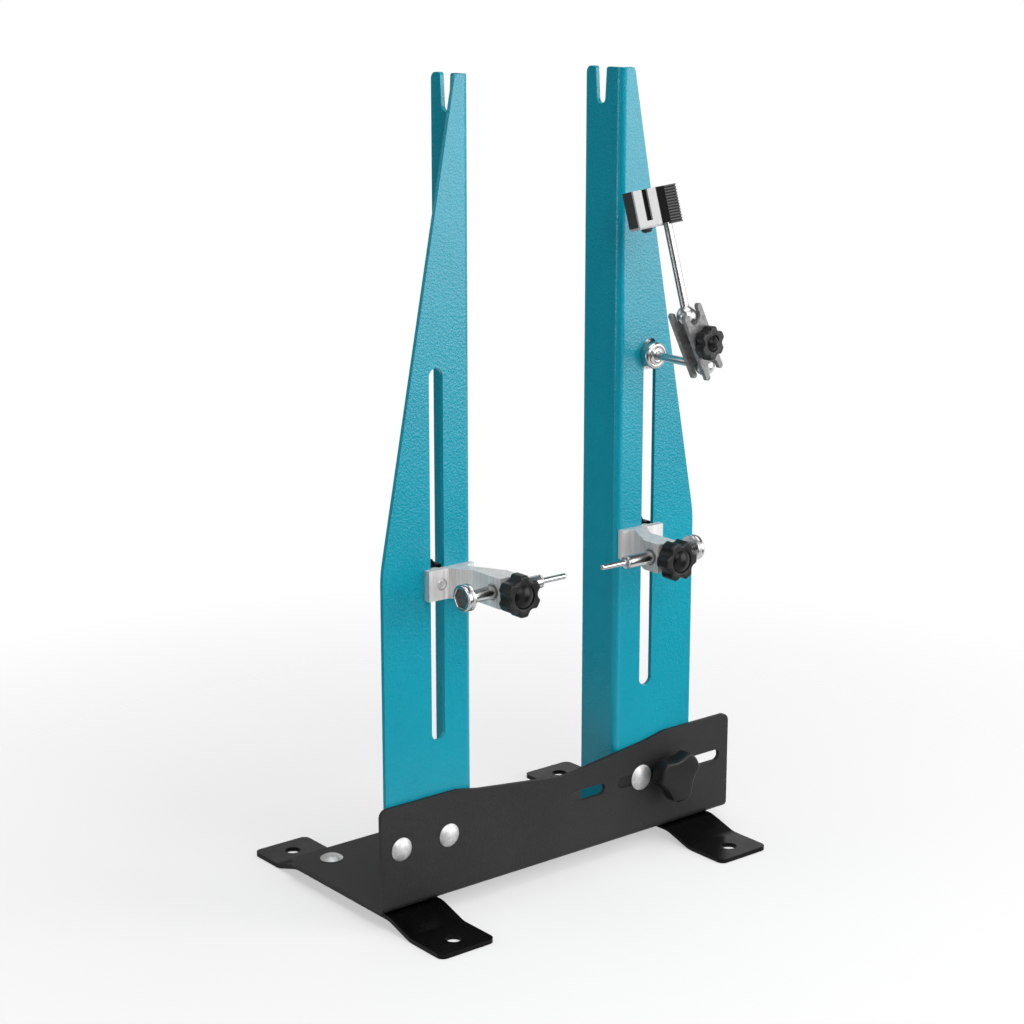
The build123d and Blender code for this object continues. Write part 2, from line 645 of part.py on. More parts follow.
with BuildPart() as gauge_bracket:
    with BuildSketch(Plane.XY.offset(GAUGE_Z - BRACKET_HEIGHT / 2)):
        with BuildLine():
            FilletPolyline(
                (PAD_X, UPRIGHT_Y),
                (PAD_X, PAD_FRONT_Y),
                (NECK_X, PAD_FRONT_Y),
                (BOSS_X, PAD_FRONT_Y - BOSS_DEPTH),
                (BOSS_X, BOSS_FRONT_Y),
                (BOSS_END_X, BOSS_FRONT_Y),
                (BOSS_END_X, BOSS_FRONT_Y + BOSS_DEPTH),
                (NECK_X + NECK_WIDTH, UPRIGHT_Y - INNER_FLANGE),
                (LEFT_X - FLANGE_GAP, UPRIGHT_Y - INNER_FLANGE),
                (LEFT_X - FLANGE_GAP, UPRIGHT_Y),
                radius=(
                    0,
                    BRACKET_CORNER,
                    BRACKET_CORNER,
                    OUTER_SWEEP,
                    BRACKET_CORNER,
                    BRACKET_CORNER,
                    INNER_SWEEP,
                    NECK_SWEEP,
                    BRACKET_CORNER,
                    0,
                ),
                close=True,
            )
        make_face()
    extrude(amount=BRACKET_HEIGHT)
    with Locations(Plane(origin=(BOSS_X, ROD_Y, GAUGE_Z), x_dir=(0, 1, 0), z_dir=(1, 0, 0))):
        Cylinder(ROD / 2 + RUNNING, BOSS_WIDTH, align=SEATED, mode=Mode.SUBTRACT)
        Cylinder(ROD_MOUTH / 2, MOUTH_DEPTH, align=SEATED, mode=Mode.SUBTRACT)
    with Locations(Plane(origin=(BOSS_END_X, ROD_Y, GAUGE_Z), x_dir=(0, 1, 0), z_dir=(-1, 0, 0))):
        Cylinder(ROD_MOUTH / 2, MOUTH_DEPTH, align=SEATED, mode=Mode.SUBTRACT)
    with Locations(facing_rear(LOCK_X, BOSS_FRONT_Y, GAUGE_Z)):
        Cylinder(LOCK_SCREW / 2 + RUNNING, BRACKET_REACH - ROD_DEPTH, align=SEATED, mode=Mode.SUBTRACT)
    with Locations(facing_rear(SLOT_X, PAD_FRONT_Y, GAUGE_Z)):
        Cylinder(GAUGE_STUD / 2 + RUNNING, PAD_THICKNESS, align=SEATED, mode=Mode.SUBTRACT)

STAR_LENGTH = STAR_HUB_LENGTH + STAR_HEAD
STAR_BORE_DEPTH = STAR_HUB_LENGTH + STAR_HEAD * BORE_SHARE
REAR_SEAT = facing_rear(SLOT_X, FACE_REAR_Y + WASHER_THICKNESS, GAUGE_Z)
gauge_washer = washer(facing_rear(SLOT_X, FACE_REAR_Y, GAUGE_Z), GAUGE_STUD + 2 * RUNNING)
gauge_knob = star_knob(
    REAR_SEAT, GAUGE_KNOB, STAR_HEAD, STAR_HUB_LENGTH, GAUGE_STUD + 2 * SNUG, STAR_BORE_DEPTH
)
gauge_knob_cap = knob_cap(REAR_SEAT.offset(STAR_LENGTH), GAUGE_KNOB)

with BuildPart() as gauge_stud:
    with Locations(facing_rear(SLOT_X, PAD_FRONT_Y, GAUGE_Z)):
        Cylinder(
            GAUGE_STUD / 2,
            PAD_THICKNESS + UPRIGHT_SHEET + WASHER_THICKNESS + STAR_BORE_DEPTH,
            align=SEATED,
        )
    chamfer(gauge_stud.faces().sort_by(Axis.Y)[0].edges(), STUD_EDGE)

with BuildPart() as feeler_rod:
    with BuildSketch(Plane(origin=(HEAD_INNER_X, ROD_Y, GAUGE_Z), x_dir=(1, 0, 0), z_dir=(0, -1, 0))):
        with BuildLine():
            rod_length = STEP_X - HEAD_INNER_X
            pin_end = rod_length + PIN_LENGTH
            tip_arc = CenterArc((pin_end - PIN / 2, 0), PIN / 2, 0, 90)
            Polyline(
                tip_arc @ 1,
                (rod_length, PIN / 2),
                (rod_length, ROD / 2),
                (NECK_GROOVE, ROD / 2),
                (NECK_GROOVE, FEELER_NECK / 2),
                (-FEELER_HEAD_WIDTH / 2, FEELER_NECK / 2),
                (-FEELER_HEAD_WIDTH / 2, 0),
                tip_arc @ 0,
            )
        make_face()
    revolve(axis=Axis((HEAD_INNER_X, ROD_Y, GAUGE_Z), (1, 0, 0)))

with BuildPart() as feeler_head:
    head_seat = Plane(origin=(HEAD_INNER_X, ROD_Y, GAUGE_Z), x_dir=(0, 1, 0), z_dir=(-1, 0, 0))
    with Locations(head_seat):
        Cylinder(FEELER_HEAD / 2, FEELER_HEAD_WIDTH, align=SEATED)
        Cylinder(FEELER_NECK / 2 + SNUG, FEELER_HEAD_WIDTH / 2, align=SEATED, mode=Mode.SUBTRACT)
    chamfer(outer_face(feeler_head, head_seat).edges(), FEELER_HEAD_EDGE)
    with BuildSketch(head_seat.offset(FEELER_HEAD_WIDTH)):
        RegularPolygon(HEX_RECESS / 2, 6, major_radius=False)
    extrude(amount=-HEX_DEPTH, mode=Mode.SUBTRACT)

with BuildPart() as lock_screw:
    with Locations(facing_front(LOCK_X, ROD_Y - ROD / 2 - PLAY, GAUGE_Z)):
        Cylinder(LOCK_SCREW / 2, BRACKET_REACH - ROD_DEPTH - ROD / 2 + STAR_BORE_DEPTH, align=SEATED)

SIDE_GAUGE = {
    "gauge_bracket": gauge_bracket,
    "gauge_washer": gauge_washer,
    "gauge_knob": gauge_knob,
    "gauge_knob_cap": gauge_knob_cap,
    "gauge_stud": gauge_stud,
    "feeler_rod": feeler_rod,
    "feeler_head": feeler_head,
    "lock_screw": lock_screw,
}
for name, piece in SIDE_GAUGE.items():
    piece.part.label = f"left_{name}"
    export_step(piece.part, f"parts/left_{name}.step")
    with BuildPart() as opposite:
        mirror(piece.part, about=MIDPLANE)
    opposite.part.label = f"right_{name}"
    export_step(opposite.part, f"parts/right_{name}.step")

for side, lock_x, turn in (("left", LOCK_X, 0.0), ("right", RIGHT_X + LOCK_OFFSET, RIGHT_LOCK_TURN)):
    lock_seat = facing_front(lock_x, BOSS_FRONT_Y - PLAY, GAUGE_Z, turn)
    lock_knob = star_knob(
        lock_seat, GAUGE_KNOB, STAR_HEAD, STAR_HUB_LENGTH, LOCK_SCREW + 2 * SNUG, STAR_BORE_DEPTH
    )
    lock_knob.part.label = f"{side}_lock_knob"
    export_step(lock_knob.part, f"parts/{side}_lock_knob.step")
    lock_knob_cap = knob_cap(lock_seat.offset(STAR_LENGTH), GAUGE_KNOB)
    lock_knob_cap.part.label = f"{side}_lock_knob_cap"
    export_step(lock_knob_cap.part, f"parts/{side}_lock_knob_cap.step")

# ---------------------------------------------------------------- Radial gauge: collar and stud
RADIAL_X = RIGHT_X + GAUGE_SLOT_OFFSET
SLEEVE_NUT_Y = FACE_REAR_Y + WASHER_THICKNESS
COLLAR_FRONT_Y = UPRIGHT_Y - COLLAR_THICKNESS
STUD_NUT_Y = SLEEVE_NUT_Y + NUT_THICKNESS

with BuildPart() as radial_collar:
    collar_seat = facing_front(RADIAL_X, STUD_NUT_Y, RADIAL_Z)
    front = STUD_NUT_Y - COLLAR_FRONT_Y
    back = STUD_NUT_Y - UPRIGHT_Y
    ring = COLLAR / 2 - COLLAR_RING
    with BuildSketch(section_of(collar_seat)):
        with BuildLine():
            FilletPolyline(
                (SWIVEL_ROD / 2 + RUNNING, 0),
                (SLEEVE / 2, 0),
                (SLEEVE / 2, back),
                (COLLAR / 2, back),
                (COLLAR / 2, front),
                (ring, front),
                (ring, front - COLLAR_GROOVE),
                (ring - COLLAR_GROOVE, front - COLLAR_GROOVE),
                (SWIVEL_ROD / 2 + COLLAR_GROOVE, front + COLLAR_GROOVE),
                (SWIVEL_ROD / 2 + RUNNING, front + COLLAR_GROOVE),
                radius=(0, 0, 0, COLLAR_EDGE, COLLAR_ROUND, COLLAR_EDGE, 0, COLLAR_EDGE, 0, 0),
                close=True,
            )
        make_face()
    revolve(axis=axis_of(collar_seat))
radial_collar.part.label = "radial_collar"
export_step(radial_collar.part, "parts/radial_collar.step")

radial_washer = washer(facing_rear(RADIAL_X, FACE_REAR_Y, RADIAL_Z), SLEEVE + 2 * SNUG)
radial_washer.part.label = "radial_washer"
export_step(radial_washer.part, "parts/radial_washer.step")

radial_nut = hex_nut(
    facing_rear(RADIAL_X, SLEEVE_NUT_Y, RADIAL_Z), SLEEVE_NUT, NUT_THICKNESS, SLEEVE + 2 * SNUG
)
radial_nut.part.label = "radial_nut"
export_step(radial_nut.part, "parts/radial_nut.step")

LOWER_BALL = Vector(RADIAL_X, UPRIGHT_Y - STUD_REACH, RADIAL_Z)
CLAMP_FACING = Vector(sin(radians(CLAMP_YAW)), -cos(radians(CLAMP_YAW)), 0)
CLAMP_UP = Vector(0, 0, 1).rotate(Axis(Vector(), CLAMP_FACING), CLAMP_LEAN)
UPPER_BALL = LOWER_BALL + CLAMP_UP * BALL_SPACING
CLAMP_MIDDLE = LOWER_BALL + CLAMP_UP * (BALL_SPACING / 2)

with BuildPart() as radial_stud:
    with Locations(LOWER_BALL):
        Sphere(SWIVEL_BALL / 2)
    with Locations(facing_rear(LOWER_BALL.X, LOWER_BALL.Y, LOWER_BALL.Z)):
        Cylinder(
            SWIVEL_ROD / 2,
            STUD_NUT_Y + STUD_NUT_THICKNESS + BOLT_PROUD - LOWER_BALL.Y,
            align=SEATED,
        )
radial_stud.part.label = "radial_stud"
export_step(radial_stud.part, "parts/radial_stud.step")

radial_stud_nut = hex_nut(
    facing_rear(RADIAL_X, STUD_NUT_Y, RADIAL_Z), STUD_NUT, STUD_NUT_THICKNESS, SWIVEL_ROD + 2 * SNUG
)
radial_stud_nut.part.label = "radial_stud_nut"
export_step(radial_stud_nut.part, "parts/radial_stud_nut.step")

# ---------------------------------------------------------------- Radial gauge: two-ball clamp
# The plates grip both balls on the rims of their open notches, which sets the plates' spacing
PLATE_GAP = sqrt(SWIVEL_BALL**2 - BALL_NOTCH**2) / 2
NOTCH_CENTRE = (BALL_SPACING + PLATE_LENGTH) / 2
for side, facing in (("left", -1), ("right", 1)):
    inner = Plane(
        origin=CLAMP_MIDDLE + CLAMP_FACING * facing * PLATE_GAP,
        x_dir=CLAMP_UP,
        z_dir=CLAMP_FACING * facing,
    )
    with BuildPart() as radial_plate:
        with BuildSketch(inner) as outline:
            Rectangle(PLATE_LENGTH, PLATE_WIDTH)
            with Locations((-NOTCH_CENTRE, 0), (NOTCH_CENTRE, 0)):
                SlotCenterToCenter(PLATE_LENGTH, BALL_NOTCH, mode=Mode.SUBTRACT)
            horns = outline.vertices().group_by(Axis.X)
            fillet(horns[0] + horns[-1], (PLATE_WIDTH - BALL_NOTCH) / 2 * HORN_ROUND)
            Circle(SWIVEL_BOLT / 2 + SNUG, mode=Mode.SUBTRACT)
        extrude(amount=PLATE_SHEET)
        for ball in (LOWER_BALL, UPPER_BALL):
            with Locations(Plane(origin=ball, z_dir=CLAMP_FACING)):
                Sphere(SWIVEL_BALL / 2 + RUNNING, mode=Mode.SUBTRACT)
    radial_plate.part.label = f"radial_plate_{side}"
    export_step(radial_plate.part, f"parts/radial_plate_{side}.step")

PLATE_OUTSIDE = CLAMP_FACING * (PLATE_GAP + PLATE_SHEET)
HEAD_SEAT = Plane(origin=CLAMP_MIDDLE - PLATE_OUTSIDE, x_dir=CLAMP_UP, z_dir=CLAMP_FACING * -1)
KNOB_SEAT = Plane(origin=CLAMP_MIDDLE + PLATE_OUTSIDE, x_dir=CLAMP_UP, z_dir=CLAMP_FACING)
KNOB_LENGTH = SWIVEL_HUB_LENGTH + SWIVEL_KNOB_HEAD
KNOB_BORE = SWIVEL_BOLT + 2 * RUNNING
with BuildPart() as radial_bolt:
    with BuildSketch(HEAD_SEAT):
        RegularPolygon(SWIVEL_HEAD / 2, 6, major_radius=False)
    extrude(amount=SWIVEL_HEAD_RISE)
    with Locations(KNOB_SEAT.offset(KNOB_LENGTH + CAP_RISE + BOLT_PROUD)):
        Cylinder(
            SWIVEL_BOLT / 2,
            2 * (PLATE_GAP + PLATE_SHEET) + KNOB_LENGTH + CAP_RISE + BOLT_PROUD,
            align=(Align.CENTER, Align.CENTER, Align.MAX),
        )
radial_bolt.part.label = "radial_bolt"
export_step(radial_bolt.part, "parts/radial_bolt.step")

radial_knob = star_knob(
    KNOB_SEAT, SWIVEL_KNOB, SWIVEL_KNOB_HEAD, SWIVEL_HUB_LENGTH, KNOB_BORE, KNOB_LENGTH
)
radial_knob.part.label = "radial_knob"
export_step(radial_knob.part, "parts/radial_knob.step")
radial_knob_cap = knob_cap(KNOB_SEAT.offset(KNOB_LENGTH), SWIVEL_KNOB, KNOB_BORE)
radial_knob_cap.part.label = "radial_knob_cap"
export_step(radial_knob_cap.part, "parts/radial_knob_cap.step")

# ---------------------------------------------------------------- Radial gauge: arm and head
ARM_UP = Vector(
    -sin(radians(ARM_ROLL)) * cos(radians(ARM_LEAN)),
    sin(radians(ARM_LEAN)),
    cos(radians(ARM_ROLL)) * cos(radians(ARM_LEAN)),
)
ARM_ACROSS = Vector(cos(radians(ARM_ROLL)), 0, sin(radians(ARM_ROLL)))
ARM = Plane(origin=UPPER_BALL, x_dir=ARM_ACROSS, z_dir=ARM_UP)
HEAD_TOP = ARM_REACH + HEAD_HEIGHT
BLOCK_FOOT = ARM_REACH + FORK_SHEET
FORK_X = -GRIP_START - BAND_WIDTH - FORK_WIDTH
TONGUE = SWIVEL_ROD / 2 + RUNNING + TONGUE_WALL
ARM_SOCKET = HEAD_HEIGHT * SOCKET_SHARE

with BuildPart() as radial_arm:
    with Locations(UPPER_BALL):
        Sphere(SWIVEL_BALL / 2)
    with Locations(ARM):
        Cylinder(SWIVEL_ROD / 2, BLOCK_FOOT + ARM_SOCKET - PLAY, align=SEATED)
radial_arm.part.label = "radial_arm"
export_step(radial_arm.part, "parts/radial_arm.step")

with BuildPart() as radial_head:
    with BuildSketch(ARM.offset(BLOCK_FOOT)):
        with BuildLine():
            Polyline(
                (FORK_X, HEAD_REAR),
                (FORK_X, FORK_SHEET - HEAD_FRONT),
                (FORK_X + FORK_WIDTH, FORK_SHEET - HEAD_FRONT),
                (FORK_X + FORK_WIDTH, -HEAD_FRONT),
                (-GRIP_START, -HEAD_FRONT),
                (-GRIP_START, -TONGUE),
                (TONGUE, -TONGUE),
                (TONGUE, TONGUE),
                (-GRIP_START, TONGUE),
                (-GRIP_START, HEAD_REAR),
                close=True,
            )
        make_face()
    extrude(amount=HEAD_TOP - BLOCK_FOOT)
    # The lower front edge clears the inside of the fork's bend
    heel = ARM.from_local_coords((FORK_X + FORK_WIDTH / 2, FORK_SHEET - HEAD_FRONT, BLOCK_FOOT))
    chamfer(radial_head.edges().sort_by_distance(heel)[0], FORK_BEND)
    with Locations(ARM.offset(BLOCK_FOOT)):
        Cylinder(SWIVEL_ROD / 2 + RUNNING, ARM_SOCKET, align=SEATED, mode=Mode.SUBTRACT)
        with Locations((FORK_X + FORK_WIDTH / 2, 0)):
            Cylinder(HEAD_SCREW / 2 + SNUG, HEAD_SCREW_LENGTH, align=SEATED, mode=Mode.SUBTRACT)
radial_head.part.label = "radial_head"
export_step(radial_head.part, "parts/radial_head.step")

ARM_SIDE = Plane(origin=ARM.origin + ARM.x_dir * FORK_X, x_dir=ARM.y_dir, z_dir=ARM.x_dir)
ARM_FRONT = Plane(origin=ARM.origin - ARM.y_dir * HEAD_FRONT, x_dir=ARM.x_dir, z_dir=ARM.y_dir * -1)
with BuildPart() as radial_fork:
    with BuildSketch(ARM_SIDE):
        with BuildLine():
            FilletPolyline(
                (-HEAD_FRONT, HEAD_TOP),
                (-HEAD_FRONT, ARM_REACH),
                (HEAD_REAR - PLAY, ARM_REACH),
                radius=FORK_SHEET + FORK_BEND,
            )
            offset(amount=FORK_SHEET, side=Side.LEFT)
        make_face()
    extrude(amount=FORK_WIDTH)
    with BuildSketch(ARM_FRONT):
        with Locations((FORK_X + FORK_WIDTH / 2, HEAD_TOP)):
            Rectangle(FORK_SLOT, FORK_SLOT_DEPTH * 2)
    extrude(amount=-FORK_SHEET, mode=Mode.SUBTRACT)
    with Locations(ARM.offset(ARM_REACH)):
        with Locations((FORK_X + FORK_WIDTH / 2, 0)):
            Cylinder(HEAD_SCREW / 2 + SNUG, FORK_SHEET, align=SEATED, mode=Mode.SUBTRACT)
radial_fork.part.label = "radial_fork"
export_step(radial_fork.part, "parts/radial_fork.step")

screw_place = ARM.from_local_coords((FORK_X + FORK_WIDTH / 2, 0, ARM_REACH))
screw_seat = Plane(origin=screw_place, x_dir=ARM.x_dir, z_dir=ARM.z_dir * -1)
radial_screw = domed_bolt(
    screw_seat, HEAD_SCREW_CAP, HEAD_SCREW_RISE, HEAD_SCREW, FORK_SHEET + HEAD_SCREW_LENGTH - PLAY
)
radial_screw.part.label = "radial_screw"
export_step(radial_screw.part, "parts/radial_screw.step")

GRIP_PITCH = HEAD_HEIGHT / (GRIP_RIBS - 1 + RIB_SHARE)
with BuildPart() as radial_grip:
    with BuildSketch(ARM.offset(ARM_REACH)):
        with Locations((-GRIP_START, (HEAD_REAR - HEAD_FRONT) / 2)):
            Rectangle(
                GRIP_WIDTH - RIB_DEPTH,
                HEAD_FRONT + HEAD_REAR - 2 * RIB_DEPTH,
                align=(Align.MIN, Align.CENTER),
            )
    extrude(amount=HEAD_HEIGHT)
    with BuildSketch(*[ARM.offset(ARM_REACH + n * GRIP_PITCH) for n in range(GRIP_RIBS)]):
        with Locations((-GRIP_START, (HEAD_REAR - HEAD_FRONT) / 2)):
            Rectangle(GRIP_WIDTH, HEAD_FRONT + HEAD_REAR, align=(Align.MIN, Align.CENTER))
    extrude(amount=GRIP_PITCH * RIB_SHARE)
    with BuildSketch(ARM.offset(ARM_REACH)):
        with Locations((-GRIP_START, 0)):
            Rectangle(GRIP_START + TONGUE + SNUG, 2 * (TONGUE + SNUG), align=(Align.MIN, Align.CENTER))
    extrude(amount=HEAD_HEIGHT, mode=Mode.SUBTRACT)
radial_grip.part.label = "radial_grip"
export_step(radial_grip.part, "parts/radial_grip.step")
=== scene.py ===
import json
from math import asin, cos, degrees, pi, radians, sin, sqrt

import bmesh
import bpy
from mathutils import Euler, Matrix, Vector


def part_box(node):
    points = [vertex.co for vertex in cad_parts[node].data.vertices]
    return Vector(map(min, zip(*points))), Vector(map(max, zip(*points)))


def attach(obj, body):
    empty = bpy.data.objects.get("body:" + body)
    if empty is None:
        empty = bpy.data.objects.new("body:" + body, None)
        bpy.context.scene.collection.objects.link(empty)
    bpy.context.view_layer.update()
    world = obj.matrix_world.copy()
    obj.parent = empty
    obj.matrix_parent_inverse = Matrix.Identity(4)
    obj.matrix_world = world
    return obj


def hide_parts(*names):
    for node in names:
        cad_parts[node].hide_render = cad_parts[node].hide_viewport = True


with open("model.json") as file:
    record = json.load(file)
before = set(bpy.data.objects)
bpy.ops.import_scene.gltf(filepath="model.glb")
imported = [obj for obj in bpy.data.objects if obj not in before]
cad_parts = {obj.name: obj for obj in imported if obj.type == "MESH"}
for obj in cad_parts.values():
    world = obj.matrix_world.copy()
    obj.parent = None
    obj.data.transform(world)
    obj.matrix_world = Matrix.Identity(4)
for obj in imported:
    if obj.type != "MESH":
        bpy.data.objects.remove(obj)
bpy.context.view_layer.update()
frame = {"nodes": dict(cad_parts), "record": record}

MM = 0.001
BODY = {node: body for body, nodes in frame["record"]["behaviour"]["bodies"].items() for node in nodes}
SLOT = {part["node"]: part["material_slot"] for part in frame["record"]["subparts"]}
JOINT = {joint["name"]: joint for joint in frame["record"]["behaviour"]["joints"]}
X = Vector((1, 0, 0))
Y = Vector((0, 1, 0))
Z = Vector((0, 0, 1))

# The radial gauge's head on its arm, in millimetres
ARM_REACH = 48.1  # the upper ball to the head's underside
ARM_ROLL = 4.8  # degrees, the arm's lean towards the wheel
HEAD_HEIGHT = 19.8
GRIP_START = 1.1  # the arm's axis to the band's edge
BAND_WIDTH = 5.8
FORK_WIDTH = 15.5
FORK_SHEET = 1.2
GRIP_RIBS = 14
RIB_SHARE = 0.55  # a rib's height over the pitch

ARM_UP = Vector(JOINT["radial_head_turn"]["axis"])
ARM_ACROSS = Vector((cos(radians(ARM_ROLL)), 0, sin(radians(ARM_ROLL))))
HEAD_FOOT = Vector(JOINT["radial_arm_tilt"]["pos_m"]) + ARM_UP * (ARM_REACH * MM)
BLOCK_SIDE = HEAD_FOOT + ARM_ACROSS * ((-GRIP_START - BAND_WIDTH - FORK_WIDTH) * MM)


# ---------------------------------------------------------------- Materials
def grey(level):
    return level, level, level


class Surface:
    """Principled material built up from procedural noise, in object coordinates."""

    def __init__(self, name, metallic=0.0, **settings):
        self.material = bpy.data.materials.new(name)
        self.material.use_nodes = True
        self.nodes = self.material.node_tree.nodes
        self.links = self.material.node_tree.links
        self.shader = self.nodes["Principled BSDF"]
        self.shader.inputs["Metallic"].default_value = metallic
        for socket, value in settings.items():
            self.shader.inputs[socket.replace("_", " ")].default_value = value
        self.place = self.nodes.new("ShaderNodeTexCoord").outputs["Object"]
        self.normal = None

    def noise(self, scale, stretch=(1, 1, 1), detail=2.0, rough=0.5):
        mapping = self.nodes.new("ShaderNodeMapping")
        mapping.inputs["Scale"].default_value = stretch
        self.links.new(self.place, mapping.inputs["Vector"])
        texture = self.nodes.new("ShaderNodeTexNoise")
        texture.inputs["Scale"].default_value = scale
        texture.inputs["Detail"].default_value = detail
        texture.inputs["Roughness"].default_value = rough
        self.links.new(mapping.outputs["Vector"], texture.inputs["Vector"])
        return texture.outputs["Fac"]

    def cells(self, scale, smooth=0.6):
        texture = self.nodes.new("ShaderNodeTexVoronoi")
        texture.feature = "SMOOTH_F1"
        texture.inputs["Scale"].default_value = scale
        texture.inputs["Smoothness"].default_value = smooth
        self.links.new(self.place, texture.inputs["Vector"])
        return texture.outputs["Distance"]

    def along(self, direction):
        """Distance from the origin along a direction, in metres."""
        node = self.nodes.new("ShaderNodeVectorMath")
        node.operation = "DOT_PRODUCT"
        node.inputs[1].default_value = direction
        self.links.new(self.place, node.inputs[0])
        return node.outputs["Value"]

    def away(self):
        """Distance from the origin, in metres."""
        node = self.nodes.new("ShaderNodeVectorMath")
        node.operation = "LENGTH"
        self.links.new(self.place, node.inputs[0])
        return node.outputs["Value"]

    def ramp(self, value, low, high, start=0.3, end=0.7):
        """Value or colour that runs from low to high as the input goes from start to end."""
        if isinstance(low, (int, float)):
            node = self.nodes.new("ShaderNodeMapRange")
            limits = {"From Min": start, "From Max": end, "To Min": low, "To Max": high}
            for socket, number in limits.items():
                node.inputs[socket].default_value = number
            self.links.new(value, node.inputs["Value"])
            return node.outputs["Result"]
        node = self.nodes.new("ShaderNodeValToRGB")
        node.color_ramp.elements[0].position = start
        node.color_ramp.elements[0].color = (*low, 1)
        node.color_ramp.elements[1].position = end
        node.color_ramp.elements[1].color = (*high, 1)
        self.links.new(value, node.inputs["Fac"])
        return node.outputs["Color"]

    def times(self, colour, other):
        node = self.nodes.new("ShaderNodeMix")
        node.data_type = "RGBA"
        node.blend_type = "MULTIPLY"
        node.inputs["Factor"].default_value = 1.0
        self.links.new(colour, node.inputs["A"])
        self.links.new(other, node.inputs["B"])
        return node.outputs["Result"]

    def by_ray(self, ray, others, these):
        """These for the named kind of ray, others for the rest."""
        node = self.nodes.new("ShaderNodeMix")
        self.links.new(self.nodes.new("ShaderNodeLightPath").outputs[ray], node.inputs["Factor"])
        self.links.new(others, node.inputs["A"])
        self.links.new(these, node.inputs["B"])
        return node.outputs["Result"]

    def colour(self, value):
        self.links.new(value, self.shader.inputs["Base Color"])

    def roughness(self, value):
        self.links.new(value, self.shader.inputs["Roughness"])

    def alpha(self, value):
        self.links.new(value, self.shader.inputs["Alpha"])

    def bump(self, height, depth, strength=1.0):
        """Relief whose depth is in millimetres, added to what is there."""
        node = self.nodes.new("ShaderNodeBump")
        node.inputs["Strength"].default_value = strength
        node.inputs["Distance"].default_value = depth * MM
        self.links.new(height, node.inputs["Height"])
        if self.normal:
            self.links.new(self.normal, node.inputs["Normal"])
        self.normal = node.outputs["Normal"]
        self.links.new(self.normal, self.shader.inputs["Normal"])


def hammered_enamel():
    s = Surface("hammered_teal_enamel", Specular_IOR_Level=0.42)
    speckle = s.noise(1100, detail=2.0, rough=0.6)
    tone = s.ramp(s.noise(24, detail=3.0), (0.0, 0.315, 0.430), (0.0, 0.340, 0.458))
    s.colour(s.times(tone, s.ramp(speckle, grey(0.94), grey(1.0), 0.32, 0.62)))
    s.roughness(s.ramp(speckle, 0.20, 0.27))
    s.bump(s.cells(900), 0.13, 0.8)
    s.bump(speckle, 0.06, 0.6)
    return s.material


def powder_coat():
    s = Surface("charcoal_powder_coat", Specular_IOR_Level=0.22)
    grain = s.noise(1900, detail=2.0)
    tone = s.ramp(s.noise(18, detail=2.0), grey(0.025), grey(0.034))
    s.colour(s.times(tone, s.ramp(grain, grey(0.6), grey(1.0))))
    s.roughness(s.ramp(grain, 0.42, 0.60))
    s.bump(grain, 0.12, 0.8)
    return s.material


def gloss_enamel():
    s = Surface("black_gloss_enamel", Specular_IOR_Level=0.14)
    s.colour(s.ramp(s.noise(30, detail=3.0), grey(0.001), grey(0.003)))
    s.roughness(s.ramp(s.noise(140, detail=4.0), 0.20, 0.30))
    s.bump(s.noise(320, detail=2.0), 0.10, 0.35)
    return s.material


def zinc():
    s = Surface("zinc_plated_steel", metallic=0.75)
    cloud = s.noise(420, detail=4.0, rough=0.65)
    s.colour(s.ramp(cloud, grey(0.52), (0.74, 0.74, 0.73)))
    s.roughness(s.ramp(s.noise(500, detail=3.0), 0.42, 0.58))
    s.bump(cloud, 0.08, 0.35)
    return s.material


def extruded_aluminium():
    """Satin metal with fine lines and broader bands along the extrusion."""
    s = Surface("satin_extruded_aluminium", metallic=0.5, Specular_IOR_Level=0.3)
    lines = s.noise(1500, stretch=(1, 1, 0.02), detail=3.0, rough=0.7)
    bands = s.noise(330, stretch=(1, 1, 0.01), detail=2.0)
    tone = s.ramp(lines, (0.66, 0.645, 0.635), (0.94, 0.925, 0.915))
    s.colour(s.times(tone, s.ramp(bands, grey(0.82), grey(1.0))))
    s.roughness(s.ramp(lines, 0.46, 0.62))
    s.bump(lines, 0.07, 0.5)
    s.bump(s.noise(2600, detail=2.0), 0.03, 0.4)
    return s.material


def plated_steel():
    s = Surface("nickel_plated_sheet", metallic=0.35, Specular_IOR_Level=0.1)
    cloud = s.noise(420, detail=5.0, rough=0.7)
    s.colour(s.ramp(cloud, grey(0.15), (0.34, 0.34, 0.335)))
    s.roughness(s.ramp(s.noise(900, stretch=(1, 1, 0.12), detail=3.0), 0.30, 0.46))
    s.bump(cloud, 0.12, 0.5)
    return s.material


def bright_fork():
    s = Surface("satin_nickel_fork", metallic=0.05, Specular_IOR_Level=0.1)
    grain = s.noise(1700, detail=3.0)
    s.colour(s.ramp(grain, grey(0.54), grey(0.64)))
    s.roughness(s.ramp(grain, 0.40, 0.52))
    s.bump(grain, 0.04, 0.4)
    return s.material


def chrome():
    s = Surface("bright_chrome", metallic=1.0)
    s.colour(s.ramp(s.noise(120, detail=3.0), (0.50, 0.495, 0.49), (0.62, 0.615, 0.61)))
    s.roughness(s.ramp(s.noise(700, detail=2.0), 0.20, 0.27))
    s.bump(s.noise(350, detail=2.0), 0.01, 0.25)
    return s.material


def moulded_plastic():
    s = Surface("black_moulded_plastic", Specular_IOR_Level=0.30)
    grain = s.noise(1400, detail=2.0)
    s.colour(s.ramp(s.noise(90, detail=2.0), grey(0.008), grey(0.014)))
    s.roughness(s.ramp(grain, 0.30, 0.44))
    s.bump(grain, 0.06, 0.4)
    return s.material


